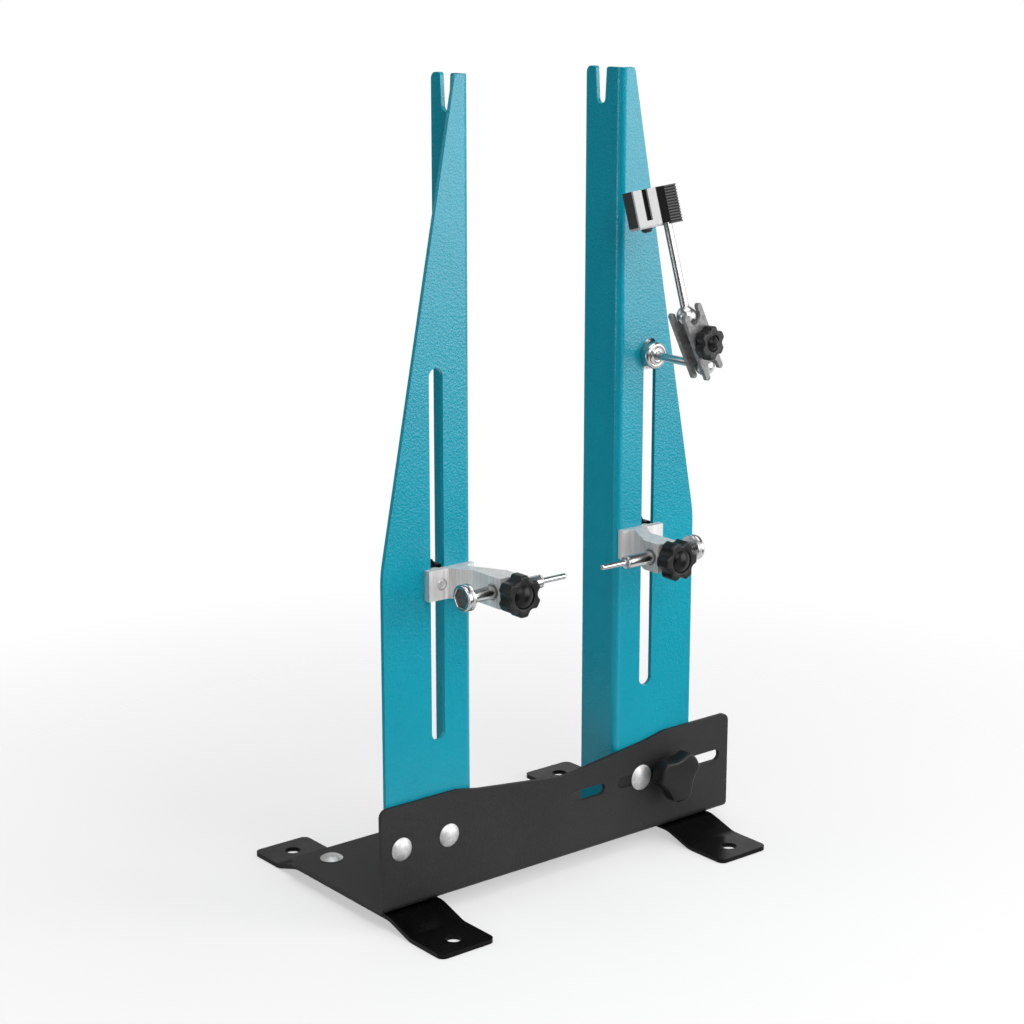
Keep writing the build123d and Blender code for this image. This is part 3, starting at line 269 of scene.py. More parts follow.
def gloss_plastic():
    s = Surface("black_gloss_plastic", Specular_IOR_Level=0.14)
    s.colour(s.ramp(s.noise(120, detail=2.0), grey(0.006), grey(0.011)))
    s.roughness(s.ramp(s.noise(600, detail=2.0), 0.16, 0.24))
    s.bump(s.noise(260, detail=2.0), 0.06, 0.3)
    return s.material


def black_oxide():
    s = Surface("black_oxide", Specular_IOR_Level=0.20)
    grain = s.noise(1200, detail=3.0)
    s.colour(s.ramp(grain, grey(0.022), (0.050, 0.048, 0.048)))
    s.roughness(s.ramp(grain, 0.42, 0.6))
    s.bump(grain, 0.07, 0.4)
    return s.material


def grip_rubber():
    """Rubber with painted shade darkening the grooves between ribs that follow the arm."""
    s = Surface("ribbed_rubber", Specular_IOR_Level=0.15)
    pitch = HEAD_HEIGHT * MM / (GRIP_RIBS - 1 + RIB_SHARE)
    foot = HEAD_FOOT.dot(ARM_UP)
    many = 1000.0  # far more pitches than ribs, so that the count never stops
    grain = s.noise(1500, detail=2.0)
    pitches = s.ramp(s.along(ARM_UP), 0.0, many, foot, foot + many * pitch)
    share = s.nodes.new("ShaderNodeMath")
    share.operation = "FRACT"
    s.links.new(pitches, share.inputs[0])
    # Painted shade: the grooves are darkened to a sixth of the rib colour, standing in for shade in them
    painted_groove_shade = s.ramp(share.outputs["Value"], grey(1.0), grey(0.16), RIB_SHARE - 0.04, RIB_SHARE + 0.04)
    s.colour(s.times(s.ramp(grain, grey(0.075), grey(0.125)), painted_groove_shade))
    s.roughness(s.ramp(grain, 0.6, 0.8))
    s.bump(grain, 0.08, 0.4)
    return s.material


def block_black():
    """Black of the gauge head, bare grey on the block's outer side."""
    s = Surface("black_block", Specular_IOR_Level=0.05)
    side = BLOCK_SIDE.dot(ARM_ACROSS)
    blend = 0.5 * MM
    grain = s.noise(1200, detail=3.0)
    depth = s.ramp(s.along(ARM_ACROSS), 0.0, 1.0, side - blend, side + blend)
    tone = s.ramp(depth, (0.085, 0.080, 0.080), grey(0.004), 0.55, 0.85)
    s.colour(s.times(tone, s.ramp(grain, grey(0.75), grey(1.0))))
    s.roughness(s.ramp(grain, 0.45, 0.6))
    s.bump(grain, 0.07, 0.4)
    return s.material


# Dark grey steel for the feeler heads' hex recesses: painted shade standing in for the shade inside the
# recess
def painted_shade_recess_finish():
    s = Surface("dark_recess", metallic=0.3, Specular_IOR_Level=0.2)
    grain = s.noise(900, detail=2.0)
    s.colour(s.ramp(grain, grey(0.08), grey(0.13)))
    s.roughness(s.ramp(grain, 0.4, 0.55))
    return s.material


FINISH = {
    "upright_enamel": hammered_enamel(),
    "base_powder_coat": powder_coat(),
    "strap_enamel": gloss_enamel(),
    "zinc_steel": zinc(),
    "satin_aluminium": extruded_aluminium(),
    "nickel_steel": plated_steel(),
    "chrome": chrome(),
    "black_plastic": moulded_plastic(),
    "gloss_plastic": gloss_plastic(),
    "black_block": black_oxide(),
    "grip_rubber": grip_rubber(),
}
FORK_FINISH = bright_fork()
RECESS_PAINTED_SHADE = painted_shade_recess_finish()
BLOCK_FINISH = block_black()

for name, node in frame["nodes"].items():
    node.data.materials.clear()
    node.data.materials.append(FINISH[SLOT[name]])


# ---------------------------------------------------------------- Pieces
SHARP = radians(34)  # edges that turn by more are sharp
FLAT = radians(0.6)  # faces that turn by less are one face
WELD = 2e-6  # metres between vertices that are one


def adopt(piece, nodes, finish=None):
    """The piece takes the nodes' place, body, slot and finish."""
    first = nodes[0]
    piece.data.materials.clear()
    piece.data.materials.append(finish or FINISH[SLOT[first]])
    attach(piece, BODY[first])
    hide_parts(*nodes)
    return piece


def build(name, bm, nodes):
    """Piece from a finished mesh."""
    bmesh.ops.recalc_face_normals(bm, faces=bm.faces)
    mesh = bpy.data.meshes.new(name)
    bm.to_mesh(mesh)
    bm.free()
    mesh.shade_smooth()
    mesh.set_sharp_from_angle(angle=SHARP)
    piece = bpy.data.objects.new(name, mesh)
    bpy.context.scene.collection.objects.link(piece)
    return adopt(piece, nodes)


def skin(node, bevel, finish=None, segments=3):
    """The node's own shape as clean faces, with its sharp edges rounded over."""
    bm = bmesh.new()
    bm.from_mesh(frame["nodes"][node].data)
    bmesh.ops.remove_doubles(bm, verts=bm.verts, dist=WELD)
    bmesh.ops.dissolve_limit(bm, angle_limit=FLAT, verts=bm.verts, edges=bm.edges)
    mesh = bpy.data.meshes.new(node + "_skin")
    bm.to_mesh(mesh)
    bm.free()
    mesh.shade_smooth()
    piece = bpy.data.objects.new(node + "_skin", mesh)
    bpy.context.scene.collection.objects.link(piece)
    rounding = piece.modifiers.new("rounding", "BEVEL")
    rounding.width = bevel * MM
    rounding.segments = segments
    rounding.limit_method = "ANGLE"
    rounding.angle_limit = SHARP
    weighting = piece.modifiers.new("weighting", "WEIGHTED_NORMAL")
    weighting.weight = 100
    return adopt(piece, [node], finish)


def centre(node):
    """Middle of a node's box, in millimetres."""
    low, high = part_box(node)
    return (low + high) / 2 / MM


def span(node, axis):
    """Ends of a node's box along an axis, in millimetres."""
    low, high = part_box(node)
    return low[axis] / MM, high[axis] / MM


def seat(origin, out, right):
    """Frame at a point in millimetres: its z is out, its x is as near to right as it can be."""
    z = Vector(out).normalized()
    x = (Vector(right) - z * z.dot(Vector(right))).normalized()
    axes = Matrix((x, z.cross(x), z)).transposed().to_4x4()
    return Matrix.Translation(Vector(origin) * MM) @ axes


def facing_front(x, y, z):
    return seat((x, y, z), -Y, X)


def facing_rear(x, y, z):
    return seat((x, y, z), Y, -X)


def loft(bm, place, loops, samples=64, closed=False):
    """Skin over loops of (radius, height) in millimetres; a radius is a number or a function of angle."""
    rings = []
    for radius, height in loops:
        ring = []
        for n in range(samples if callable(radius) or radius > 0 else 1):
            angle = 2 * pi * n / samples
            r = radius(angle) if callable(radius) else radius
            ring.append(bm.verts.new(place @ (Vector((r * cos(angle), r * sin(angle), height)) * MM)))
        rings.append(ring)
    pairs = list(zip(rings, rings[1:]))
    if closed:
        pairs.append((rings[-1], rings[0]))
    for low, high in pairs:
        for n in range(samples):
            m = (n + 1) % samples
            corners = [low[n % len(low)], low[m % len(low)], high[m % len(high)], high[n % len(high)]]
            corners = list(dict.fromkeys(corners))
            if len(corners) > 2:
                bm.faces.new(corners)


def turned(node, place, loops, made="_turned", samples=64, closed=False):
    """Piece lofted over loops, in place of a node."""
    bm = bmesh.new()
    loft(bm, place, loops, samples, closed)
    return build(node + made, bm, [node])


def soften(points, size, steps=3):
    """Profile with each of its corners rounded by at most size."""
    out = [points[0]]
    for before, corner, after in zip(points, points[1:], points[2:]):
        c = Vector(corner)
        back = Vector(before) - c
        ahead = Vector(after) - c
        cut = min(size, back.length * 0.45, ahead.length * 0.45)
        start = c + back.normalized() * cut
        end = c + ahead.normalized() * cut
        for k in range(steps + 1):
            t = k / steps
            out.append(tuple((1 - t) ** 2 * start + 2 * t * (1 - t) * c + t * t * end))
    out.append(points[-1])
    return out


def arc(middle, radius, start, end, steps):
    """Points of an arc in a profile, angles in degrees from the radius direction."""
    out = []
    for k in range(steps + 1):
        angle = radians(start + (end - start) * k / steps)
        out.append((max(0.0, middle[0] + radius * cos(angle)), middle[1] + radius * sin(angle)))
    for tip in (0, -1):
        if out[tip][0] < 1e-6:
            out[tip] = (0.0, out[tip][1])
    return out


def dome(radius, rise, foot=0.0, steps=10):
    """Profile of a dome from its rim to its crown."""
    sphere = (radius**2 + rise**2) / (2 * rise)
    start = degrees(asin((sphere - rise) / sphere))
    return arc((0, foot + rise - sphere), sphere, start, 90, steps)


def thread(radius, start, end, pitch=0.8, depth=0.28):
    """Profile of a threaded stretch of shank."""
    out = []
    turns = int(abs(end - start) / pitch)
    step = (end - start) / turns
    for n in range(turns):
        out += [(radius, start + step * (n + 0.15)), (radius, start + step * (n + 0.4))]
        out += [(radius - depth, start + step * (n + 0.65)), (radius - depth, start + step * (n + 0.85))]
    return out


def hexagon(width, limit=None):
    """Radius of a hexagon over flats, cut round at limit."""
    def radius(angle):
        sector = (angle % (pi / 3)) - pi / 6
        r = width / 2 / cos(sector)
        return min(r, limit) if limit else r
    return radius


def hex_profile(width, low, high, bevel):
    """Loops of a hexagonal head or nut with turned corners."""
    flat = width / 2
    corner = width / sqrt(3)
    steps = [flat * 0.97, flat + (corner - flat) * 0.35, flat + (corner - flat) * 0.7, corner]
    heights = [0.0, bevel * 0.45, bevel * 0.8, bevel * 1.15]
    lower = [(hexagon(width, r), low + h) for r, h in zip(steps, heights)]
    upper = [(hexagon(width, r), high - h) for r, h in zip(steps[::-1], heights[::-1])]
    return lower + upper


def lobed(lobes, tip, valley, scoop, blur, turn):
    """Radius of a lobed outline: a circle with round scoops, its corners smoothed. Angles in degrees."""
    count = 720
    offset = valley + scoop
    raw = []
    for n in range(count):
        angle = 2 * pi * n / count
        nearest = (angle - radians(turn) + pi / lobes) % (2 * pi / lobes) - pi / lobes
        root = scoop**2 - (offset * sin(nearest)) ** 2
        cut = offset * cos(nearest) - sqrt(root) if root > 0 else tip
        raw.append(min(tip, cut))
    reach = int(blur * count / 360)
    weights = [cos(pi / 2 * k / (reach + 1)) ** 2 for k in range(-reach, reach + 1)]
    total = sum(weights)
    smooth = []
    for n in range(count):
        near = (w * raw[(n + k - reach) % count] for k, w in enumerate(weights))
        smooth.append(sum(near) / total)

    def radius(angle):
        return smooth[round(angle / (2 * pi) * count) % count]
    return radius


def knob_loops(outline, rim, hub, hub_length, head, edge, bore, bore_depth, recess=0.0, recess_depth=0.0):
    """Loops of a moulded knob: bore, hub, lobed head and the recess for its cap."""
    def inset(by):
        return lambda angle: outline(angle) - by
    top = hub_length + head
    floor = top - recess_depth
    through = bore_depth >= top
    edge_steps = 6
    loops = [(bore, floor)] if through else [(0.0, bore_depth), (bore, bore_depth)]
    loops += [(bore, 0.3), (bore + 0.3, 0.0)]
    loops += [(hub - 0.4, 0.0), (hub - 0.1, 0.1), (hub, 0.4)]
    loops += [(hub, hub_length - 0.3), (hub + 0.3, hub_length)]
    loops += [(inset(rim * t), hub_length + 0.12 * (1 - t)) for t in (0.75, 0.4, 0.12)]
    loops += [(inset(0.0), hub_length + 0.5), (inset(0.0), hub_length + head * 0.5)]
    for k in range(edge_steps + 1):
        angle = pi / 2 * k / edge_steps
        loops.append((inset(edge * (1 - cos(angle))), top - edge * (1 - sin(angle))))
    if recess:
        loops += [(inset(edge * 1.5), top), (recess + 0.45, top), (recess + 0.15, top - 0.08)]
        loops += [(recess, top - 0.3), (recess, floor)]
        if not through:
            loops += [(0.0, floor)]
    return loops


# Sheet-metal pieces and extrusions keep their own faces and gain rounded edges
skin("base_channel", 0.3)
skin("foot_strap_left", 0.35)
skin("foot_strap_right", 0.35)
skin("left_upright", 0.35)
skin("right_upright", 0.35)
skin("guide_key", 0.25)
skin("radial_plate_left", 0.3)
skin("radial_plate_right", 0.3)
skin("radial_head", 0.35, BLOCK_FINISH)
skin("radial_fork", 0.2, FORK_FINISH)
skin("radial_grip", 0.14, segments=2)
skin("left_gauge_bracket", 0.22)
skin("right_gauge_bracket", 0.22)

# ---------------------------------------------------------------- Rivets, bolts, washers and nuts
# Round sizes from here on are radii
SHEET = 2.5
FOOT_RISE = 8.0
RIVET_HEAD = 6.4
RIVET_RISE = 2.6
RIVET_SHANK = 2.5
RIVET_TAIL = 4.0
TAIL_RISE = 1.6
GUIDE_HEAD = 7.4
GUIDE_PLAIN = 4.0  # plain shank behind the two sheets
STUD = 3.0  # of the clamp knobs
SLEEVE = 4.0  # of the radial collar
LOOSE = 0.06
SNUG = 0.02
WASHER_MARGIN = 4.5
CLAMP_HEAD_RISE = 3.0


def rivet_loops(length, head=RIVET_HEAD, tail=True):
    """Loops of a domed head over a shank, with a formed tail on a rivet."""
    loops = []
    if tail:
        loops += [(0.0, -length - TAIL_RISE), (RIVET_TAIL - 1.1, -length - TAIL_RISE)]
        loops += [(RIVET_TAIL - 0.5, -length - 1.3), (RIVET_TAIL - 0.1, -length - 0.6)]
        loops += [(RIVET_TAIL, -length), (RIVET_SHANK, -length)]
    loops += [(RIVET_SHANK, 0.0), (head - 0.25, 0.0), (head - 0.05, 0.12), (head - 0.08, 0.32)]
    loops += dome(head - 0.22, RIVET_RISE - 0.42, 0.42)
    return loops


def rivet_places(node, axis):
    """Middles of a node's first and last rivet along an axis."""
    low, high = span(node, axis)
    return low + RIVET_HEAD, high - RIVET_HEAD


wall_front = span("right_upright", 1)[0] - SHEET
guide = centre("guide_bolt")

bm = bmesh.new()
for x in rivet_places("upright_rivets", 0):
    loft(bm, facing_front(x, wall_front, guide.z), rivet_loops(2 * SHEET))
build("upright_rivet_domes", bm, ["upright_rivets"])

bm = bmesh.new()
for x in rivet_places("foot_rivets", 0):
    for y in rivet_places("foot_rivets", 1):
        loft(bm, seat((x, y, FOOT_RISE + SHEET), Z, X), rivet_loops(2 * SHEET))
build("foot_rivet_domes", bm, ["foot_rivets"])

bolt_end = span("guide_bolt", 1)[1] - wall_front
loops = [(0.0, -bolt_end), (RIVET_SHANK - 0.5, -bolt_end), (RIVET_SHANK - 0.1, -bolt_end + 0.5)]
loops += thread(RIVET_SHANK, -bolt_end + 0.6, -2 * SHEET - GUIDE_PLAIN)
loops += rivet_loops(2 * SHEET, GUIDE_HEAD, tail=False)
turned("guide_bolt", facing_front(guide.x, wall_front, guide.z), loops)


def nut(node, width, bore, chamfer=0.35):
    """Hexagon nut whose axis runs along Y; its width is across the flats."""
    front, back = span(node, 1)
    middle = centre(node)
    thick = back - front
    loops = [(bore, chamfer), (bore + chamfer, 0.0)] + hex_profile(width, 0.0, thick, 0.5)
    loops += [(bore + chamfer, thick), (bore, thick - chamfer)]
    turned(node, facing_rear(middle.x, front, middle.z), loops, samples=96, closed=True)


nut("guide_nut", 8.0, RIVET_SHANK + SNUG)
nut("radial_nut", 13.0, SLEEVE + SNUG)
nut("radial_stud_nut", 7.0, 2.27)


def washer(node, bore, edge=0.25):
    front, back = span(node, 1)
    middle = centre(node)
    thick = back - front
    outer = bore + WASHER_MARGIN
    corners = [(bore, thick / 2), (bore, 0), (outer, 0), (outer, thick), (bore, thick), (bore, thick / 2)]
    loops = soften(corners, edge)[:-1]
    turned(node, facing_rear(middle.x, front, middle.z), loops, closed=True)


washer("base_clamp_washer", STUD + LOOSE)
washer("left_gauge_washer", STUD + LOOSE)
washer("right_gauge_washer", STUD + LOOSE)
washer("radial_washer", SLEEVE + SNUG)

front, back = span("base_clamp_stud", 1)
stud = centre("base_clamp_stud")
head_y = back - CLAMP_HEAD_RISE
foot = front - head_y
loops = [(0.0, foot), (2.4, foot), (2.9, foot + 0.6)]
loops += thread(STUD, foot + 0.7, -4.0, pitch=1.0, depth=0.3)
loops += [(STUD, -3.9), (STUD, 0.0), (6.2, 0.0), (6.45, 0.15), (6.4, 0.45)] + dome(6.3, 2.5, 0.5)
turned("base_clamp_stud", facing_rear(stud.x, head_y, stud.z), loops)

# ---------------------------------------------------------------- Knobs
STAR_LOBES = 6
STAR_VALLEY = 0.81  # shares of the knob's radius
STAR_SCOOP = 0.36
STAR_BLUR = 5.0  # degrees
STAR_HUB = 7.0
STAR_EDGE = 1.1
BORE_SHARE = 0.5  # a blind bore's depth into the knob's head
CAP_MARGIN = 4.6
CAP_SEAT = 1.0
CAP_STEP = 0.42
GAUGE_KNOB = (22.0, 3.0, 8.5)  # width, hub length and head
SWIVEL_KNOB = (18.0, 1.0, 5.7)
LOCK_SCREW = 2.5


def star(node, place, size, bore, through=False, turn=0.0):
    """Six-lobed knob, turned by degrees."""
    width, hub_length, head = size
    radius = width / 2
    outline = lobed(STAR_LOBES, radius, radius * STAR_VALLEY, radius * STAR_SCOOP, STAR_BLUR, turn)
    depth = hub_length + head * (1.0 if through else BORE_SHARE)
    loops = knob_loops(
        outline, radius - STAR_HUB, STAR_HUB, hub_length, head, STAR_EDGE, bore, depth,
        radius - CAP_MARGIN + SNUG, CAP_SEAT,
    )
    turned(node, place, loops, "_moulded", samples=180, closed=through)


def cap(node, place, size, bore=0.0):
    """Domed cap in a knob's recess, cut through where a bolt passes it."""
    width, hub_length, head = size
    radius = width / 2 - CAP_MARGIN
    top = hub_length + head
    foot = top - CAP_SEAT
    loops = [(bore, foot), (radius, foot), (radius, foot + 0.35), (radius - CAP_STEP, foot + 0.4)]
    loops += dome(radius - CAP_STEP, 2.0, top - 0.4, steps=14)
    if bore:
        kept = [p for p in loops if p[0] > bore]
        loops = [(bore, foot)] + kept + [(bore, kept[-1][1] + 0.02)]
    turned(node, place, loops, "_domed", samples=96, closed=bool(bore))


for side, turn in (("left", 0.0), ("right", -30.0)):
    name = side + "_lock_knob"
    middle = centre(name)
    place = facing_front(middle.x, span(name, 1)[1], middle.z)
    star(name, place, GAUGE_KNOB, LOCK_SCREW + SNUG, turn=turn)
    cap(name + "_cap", place, GAUGE_KNOB)
    name = side + "_gauge_knob"
    middle = centre(name)
    place = facing_rear(middle.x, span(name, 1)[0], middle.z)
    star(name, place, GAUGE_KNOB, STUD + SNUG)
    cap(name + "_cap", place, GAUGE_KNOB)

BALL = 5.3
ROD = 2.25
BOLT = 2.0
BALL_NOTCH = 4.1
PLATE_SHEET = 2.4
LOWER_BALL = Vector(JOINT["radial_stud_turn"]["pos_m"]) / MM
UPPER_BALL = Vector(JOINT["radial_arm_tilt"]["pos_m"]) / MM
CLAMP_MIDDLE = Vector(JOINT["radial_knob_turn"]["pos_m"]) / MM
CLAMP_FACING = Vector(JOINT["radial_knob_turn"]["axis"])
PLATE_OUTSIDE = sqrt(BALL**2 - BALL_NOTCH**2) + PLATE_SHEET
CLAMP_SEAT = seat(CLAMP_MIDDLE + CLAMP_FACING * PLATE_OUTSIDE, CLAMP_FACING, UPPER_BALL - LOWER_BALL)
star("radial_knob", CLAMP_SEAT, SWIVEL_KNOB, BOLT + LOOSE, through=True)
cap("radial_knob_cap", CLAMP_SEAT, SWIVEL_KNOB, bore=BOLT + LOOSE)

CLAMP_TIP = 14.75
CLAMP_VALLEY = 10.5
CLAMP_SCOOP = 24.0
CLAMP_BLUR = 10.0  # degrees
CLAMP_TURN = -21.0
CLAMP_HUB = 7.5
CLAMP_HUB_LENGTH = 5.0
CLAMP_EDGE = 1.6
CLAMP_BORE_DEPTH = 9.5
front, back = span("base_clamp_knob", 1)
stud = centre("base_clamp_washer")
top = back - front
outline = lobed(3, CLAMP_TIP, CLAMP_VALLEY, CLAMP_SCOOP, CLAMP_BLUR, CLAMP_TURN)
loops = knob_loops(
    outline, CLAMP_TIP - CLAMP_HUB, CLAMP_HUB, CLAMP_HUB_LENGTH, top - CLAMP_HUB_LENGTH, CLAMP_EDGE,
    STUD + LOOSE, CLAMP_BORE_DEPTH,
)
loops += [(lambda angle: (outline(angle) - 1.5) * 0.6, top), (0.0, top)]
turned("base_clamp_knob", facing_front(stud.x, back, stud.z), loops, "_moulded", samples=180)

# ---------------------------------------------------------------- Side gauges
PIN_LENGTH = 17.0
# Faces of the recess in a feeler's head: their depths, and how far they reach from its axis
RECESS_FROM = 2.6
RECESS_TO = 4.85
RECESS_REACH = 4.6

for side, inward in (("left", X), ("right", -X)):
    name = side + "_gauge_stud"
    front, back = span(name, 1)
    middle = centre(name)
    length = back - front
    loops = [(0.0, 0.45), (1.0, 0.4), (1.7, 0.12), (2.3, 0.0), (2.65, 0.15), (2.95, 0.55)]
    loops += thread(STUD, 0.6, length - 0.6, pitch=0.9) + [(2.6, length), (0.0, length)]
    turned(name, facing_rear(middle.x, front, middle.z), loops)

    name = side + "_lock_screw"
    front, back = span(name, 1)
    middle = centre(name)
    length = back - front
    loops = [(0.0, 0.0), (1.7, 0.0), (2.3, 0.5)] + thread(LOCK_SCREW, 0.6, length - 0.4)
    loops += [(2.2, length), (0.0, length)]
    turned(name, facing_front(middle.x, back, middle.z), loops)

    name = side + "_feeler_rod"
    start, end = span(name, 0)
    middle = centre(name)
    length = end - start
    step = length - PIN_LENGTH
    loops = [(0.0, 0.0), (2.8, 0.0), (2.8, 3.5), (3.15, 3.5), (3.5, 3.85)]
    loops += [(3.5, step - 1.6), (3.42, step - 1.5), (3.1, step - 1.35), (3.1, step - 1.0)]
    loops += [(3.42, step - 0.85), (3.5, step - 0.7), (3.4, step - 0.2), (3.1, step)]
    loops += [(1.9, step), (1.55, step + 0.15), (1.5, step + 0.5)]
    loops += [(1.5, length - 1.5)] + arc((0, length - 1.5), 1.5, 12, 90, 8)
    turned(name, seat((start if side == "left" else end, middle.y, middle.z), inward, Y), loops)

    name = side + "_feeler_head"
    start, end = span(name, 0)
    inner = end if side == "left" else start
    loops = [(0.0, 2.5), (2.82, 2.5), (2.82, 0.0), (6.3, 0.0), (6.75, 0.1), (7.0, 0.4)]
    loops += [(7.0, 1.5), (6.8, 1.8), (6.8, 2.1), (7.0, 2.4), (7.0, 4.3), (6.9, 4.65)]
    loops += [(6.5, 4.95), (6.2, 5.0), (hexagon(9.9), 5.0), (hexagon(9.6), 4.9)]
    loops += [(hexagon(9.5), 4.7), (hexagon(9.4), 3.8), (0.0, 3.7)]
    piece = turned(name, seat((inner, middle.y, middle.z), -inward, Y), loops, samples=96)
    # The recess faces take the darker material, as painted shade
    piece.data.materials.append(RECESS_PAINTED_SHADE)
    for face in piece.data.polygons:
        depth = abs(face.center.x / MM - inner)
        out = (face.center - Vector((0, middle.y, middle.z)) * MM).yz.length / MM
        face.material_index = int(RECESS_FROM < depth < RECESS_TO and out < RECESS_REACH)

# ---------------------------------------------------------------- Radial gauge
COLLAR = 7.35
COLLAR_THICKNESS = 6.0
COLLAR_RING = 1.7
STUD_BORE = 2.31
CAP_RISE = 1.6
BOLT_PROUD = 1.5
SWIVEL_HEAD = 7.0  # across flats
SWIVEL_HEAD_RISE = 1.8
SOCKET_SHARE = 0.8  # the arm's socket over the head's height
SOCKET_FLOOR = 0.3  # the arm's end to the socket's

radial = centre("radial_collar")
back = span("radial_collar", 1)[1]
sleeve = back - span("right_upright", 1)[0]
face = sleeve + COLLAR_THICKNESS
rim = COLLAR - COLLAR_RING
loops = [(STUD_BORE, 0.3), (2.6, 0.0)] + thread(SLEEVE, 0.2, 3.8) + [(SLEEVE, 4.0), (SLEEVE, sleeve)]
loops += soften([(SLEEVE, sleeve), (COLLAR, sleeve), (COLLAR, face - 1.9)], 0.4)[1:]
loops += [(COLLAR - 0.12, face - 1.3), (COLLAR - 0.42, face - 0.7), (COLLAR - 0.9, face - 0.2)]
loops += [(COLLAR - 1.3, face), (rim + 0.1, face), (rim, face - 0.1), (rim, face - 0.6)]
loops += [(rim - 0.15, face - 0.7), (rim - 0.6, face - 0.7), (rim - 0.7, face - 0.6)]
loops += [(rim - 0.8, face - 0.1), (rim - 1.0, face + 0.1), (3.1, face + 0.7), (2.65, face + 0.68)]
loops += [(STUD_BORE, face + 0.45)]
turned("radial_collar", facing_front(radial.x, back, radial.z), loops, samples=96, closed=True)

neck = degrees(asin(ROD / BALL))
ball = arc((0, 0), BALL, -90, 90 - neck, 26) + [(ROD, sqrt(BALL**2 - ROD**2) + 0.1)]
end = span("radial_stud", 1)[1] - LOWER_BALL.y
loops = ball + [(ROD, end - 12.0)] + thread(ROD, end - 11.5, end - 0.5, pitch=0.7, depth=0.2)
loops += [(1.6, end), (0.0, end)]
turned("radial_stud", seat(LOWER_BALL, Y, -X), loops, samples=72)

arm = seat(UPPER_BALL, ARM_UP, ARM_ACROSS)
end = ARM_REACH + FORK_SHEET + HEAD_HEIGHT * SOCKET_SHARE - SOCKET_FLOOR
loops = ball + [(ROD, end - 0.3), (ROD - 0.3, end), (0.0, end)]
turned("radial_arm", arm, loops, samples=72)

end = sum(SWIVEL_KNOB[1:]) + CAP_RISE + BOLT_PROUD
through = 2 * PLATE_OUTSIDE
crown = -through - SWIVEL_HEAD_RISE
loops = [(0.0, crown)] + hex_profile(SWIVEL_HEAD, crown, -through, 0.3)
loops += [(BOLT, -through), (BOLT, 1.0)]
loops += thread(BOLT, 1.2, end - 0.5, pitch=0.7, depth=0.2) + [(1.6, end), (0.0, end)]
turned("radial_bolt", CLAMP_SEAT, loops, samples=96)

screw_x = -GRIP_START - BAND_WIDTH - FORK_WIDTH / 2
screw_seat = Matrix.Translation(arm @ Vector((screw_x * MM, 0, ARM_REACH * MM)))
loops = [(0.0, -9.9), (1.2, -9.9), (1.5, -9.6), (1.5, 0.0), (2.75, 0.0), (2.9, 0.15), (2.85, 0.6)]
loops += [(2.6, 1.2), (2.2, 1.65), (1.75, 1.93), (1.5, 2.0), (hexagon(2.3), 2.0), (hexagon(2.15), 1.9)]
loops += [(hexagon(2.1), 0.8), (0.0, 0.7)]
turned("radial_screw", screw_seat @ seat((0, 0, 0), -ARM_UP, ARM_ACROSS), loops, samples=72)

# ---------------------------------------------------------------- Floor
FLOOR_RADIUS = 1.0
FLOOR_DROP = 0.2 * MM  # below the feet

bm = bmesh.new()
bmesh.ops.create_circle(bm, cap_ends=True, segments=96, radius=FLOOR_RADIUS)
mesh = bpy.data.meshes.new("floor")
bm.to_mesh(mesh)
bm.free()
floor = bpy.data.objects.new("floor", mesh)
floor.location = (0, 0, -FLOOR_DROP)
bpy.context.scene.collection.objects.link(floor)
pale = Surface("pale_floor", Roughness=0.9, Specular_IOR_Level=0.0)
pale.colour(pale.ramp(pale.noise(3.0), grey(0.95), grey(0.96)))

# It fades out into the white world, nearest the feet for reflections
away = pale.away()
lit = pale.ramp(away, 1.0, 0.0, 0.35, 0.85)
reflected = pale.ramp(away, 1.0, 0.0, 0.12, 0.26)
pictured = pale.ramp(away, 0.5, 0.0, 0.20, 0.55)
pale.alpha(pale.by_ray("Is Camera Ray", pale.by_ray("Is Glossy Ray", lit, reflected), pictured))
mesh.materials.append(pale.material)

# ---------------------------------------------------------------- World
world = bpy.data.worlds.new("studio")
bpy.context.scene.world = world
world.use_nodes = True
nodes = world.node_tree.nodes
links = world.node_tree.links
nodes.clear()
direction = nodes.new("ShaderNodeTexCoord").outputs["Generated"]


def card(towards, start, end, level):
    """Brightness that falls from 1 to level as the cosine to the card goes from start to end."""
    dot = nodes.new("ShaderNodeVectorMath")
    dot.operation = "DOT_PRODUCT"
    dot.inputs[1].default_value = Vector(towards).normalized()
    links.new(direction, dot.inputs[0])
    spread = nodes.new("ShaderNodeMapRange")
    spread.interpolation_type = "SMOOTHSTEP"
    limits = {"From Min": start, "From Max": end, "To Min": 1.0, "To Max": level}
    for socket, number in limits.items():
        spread.inputs[socket].default_value = number
    links.new(dot.outputs["Value"], spread.inputs["Value"])
    return spread.outputs["Result"]


def product(a, b):
    node = nodes.new("ShaderNodeMath")
    node.operation = "MULTIPLY"
    links.new(a, node.inputs[0])
    links.new(b, node.inputs[1])
    return node.outputs["Value"]


def background(strength):
    """White light of a strength that is a number or a socket."""
    node = nodes.new("ShaderNodeBackground")
    node.inputs["Color"].default_value = (1, 1, 1, 1)
    if isinstance(strength, (int, float)):
        node.inputs["Strength"].default_value = strength
    else:
        links.new(strength, node.inputs["Strength"])
    return node.outputs["Background"]


def choose(test, no, yes):
    node = nodes.new("ShaderNodeMixShader")
    links.new(test, node.inputs["Fac"])
    links.new(no, node.inputs[1])
    links.new(yes, node.inputs[2])
    return node.outputs["Shader"]


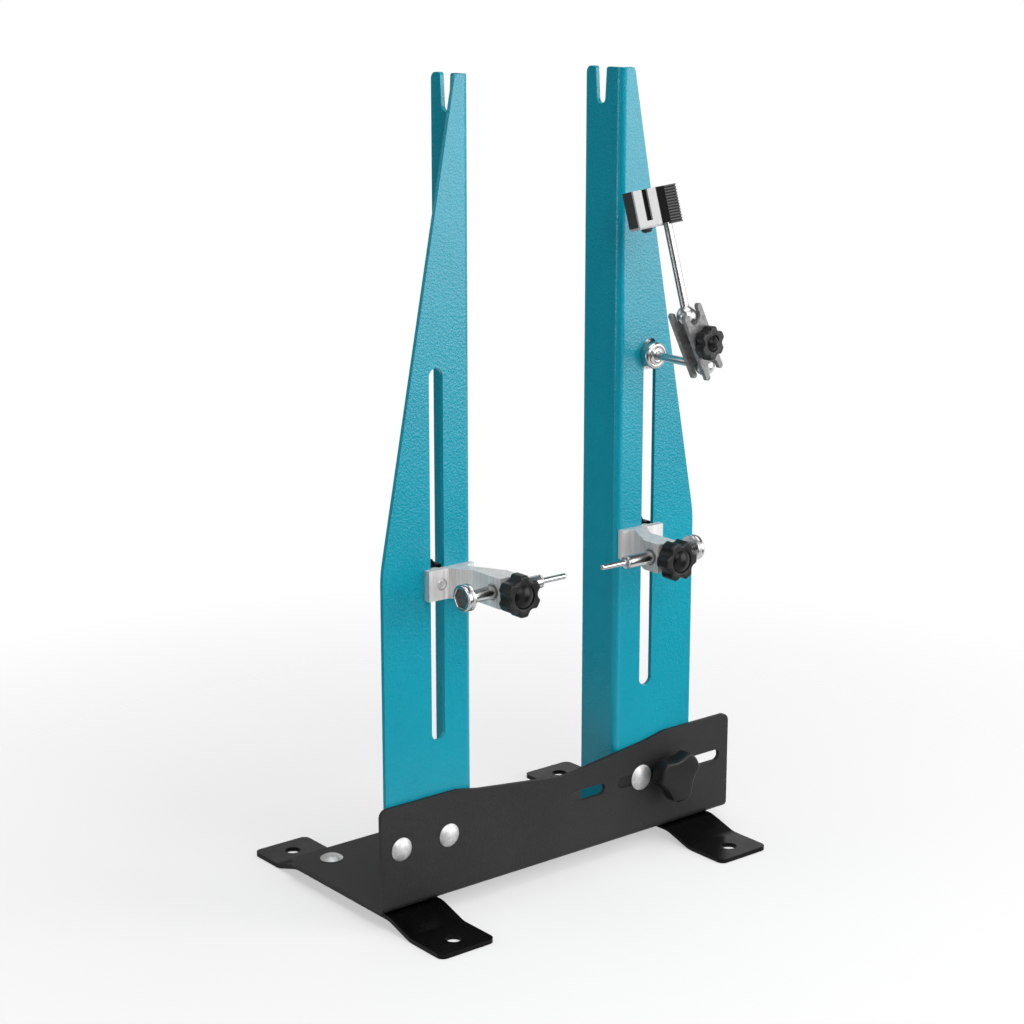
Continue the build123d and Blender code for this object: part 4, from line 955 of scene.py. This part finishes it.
# Reflections see the white studio, with a dark ceiling and dark cards around the object
rays = nodes.new("ShaderNodeLightPath")
ceiling = card((0, 0, 1), 0.42, 0.72, 0.06)
front_card = card((-0.66, -0.75, 0.0), 0.80, 0.90, 0.05)
left_card = card((-0.60, 0.77, -0.2), 0.91, 0.975, 0.06)
left_side = card((-0.97, -0.24, 0.0), 0.55, 0.75, 0.60)
low_card = card((0.58, -0.72, -0.33), 0.93, 0.98, 0.03)
rear_card = card((0.24, 0.97, -0.1), 0.80, 0.92, 0.15)
around = product(product(front_card, rear_card), product(left_card, left_side))
glossy = background(product(product(ceiling, low_card), around))
shown = choose(rays.outputs["Is Glossy Ray"], background(0.11), glossy)
shown = choose(rays.outputs["Is Camera Ray"], shown, background(1.0))
shown = choose(rays.outputs["Is Transmission Ray"], shown, background(1.0))
links.new(shown, nodes.new("ShaderNodeOutputWorld").inputs["Surface"])


# ---------------------------------------------------------------- Lights and camera
def area_light(name, place, target, width, height, power):
    light = bpy.data.lights.new(name, "AREA")
    light.shape = "RECTANGLE"
    light.size = width
    light.size_y = height
    light.energy = power
    lamp = bpy.data.objects.new(name, light)
    lamp.location = place
    lamp.rotation_euler = (Vector(place) - Vector(target)).to_track_quat("Z", "Y").to_euler()
    bpy.context.scene.collection.objects.link(lamp)


area_light("key", (0.62, -0.82, 0.40), (0, 0, 0.4), 0.62, 0.48, 4.2)
area_light("low_key", (0.62, -0.82, 0.08), (0, 0, 0.08), 0.62, 0.16, 0.55)
area_light("front", (-0.25, -1.2, 1.0), (0, 0, 0.2), 1.0, 1.0, 9.5)
area_light("overhead", (0.0, -0.1, 1.7), (0, 0, 0.1), 1.4, 1.4, 15.0)
area_light("strip", (-1.14, 0.39, 0.28), (0, 0, 0.28), 0.46, 0.32, 2.0)

CAMERA_TILT = 14.055  # degrees below the horizon
CAMERA_HEADING = -38.78  # degrees from +Y
camera = bpy.data.objects.new("camera", bpy.data.cameras.new("camera"))
camera.data.lens = 78.74
camera.data.sensor_width = 36.0
camera.location = (-0.7401, -0.9218, 0.4942)
camera.rotation_euler = Euler((radians(90 - CAMERA_TILT), 0, radians(CAMERA_HEADING)))
bpy.context.scene.collection.objects.link(camera)
bpy.context.scene.camera = camera
bpy.context.scene.view_settings.view_transform = "Standard"
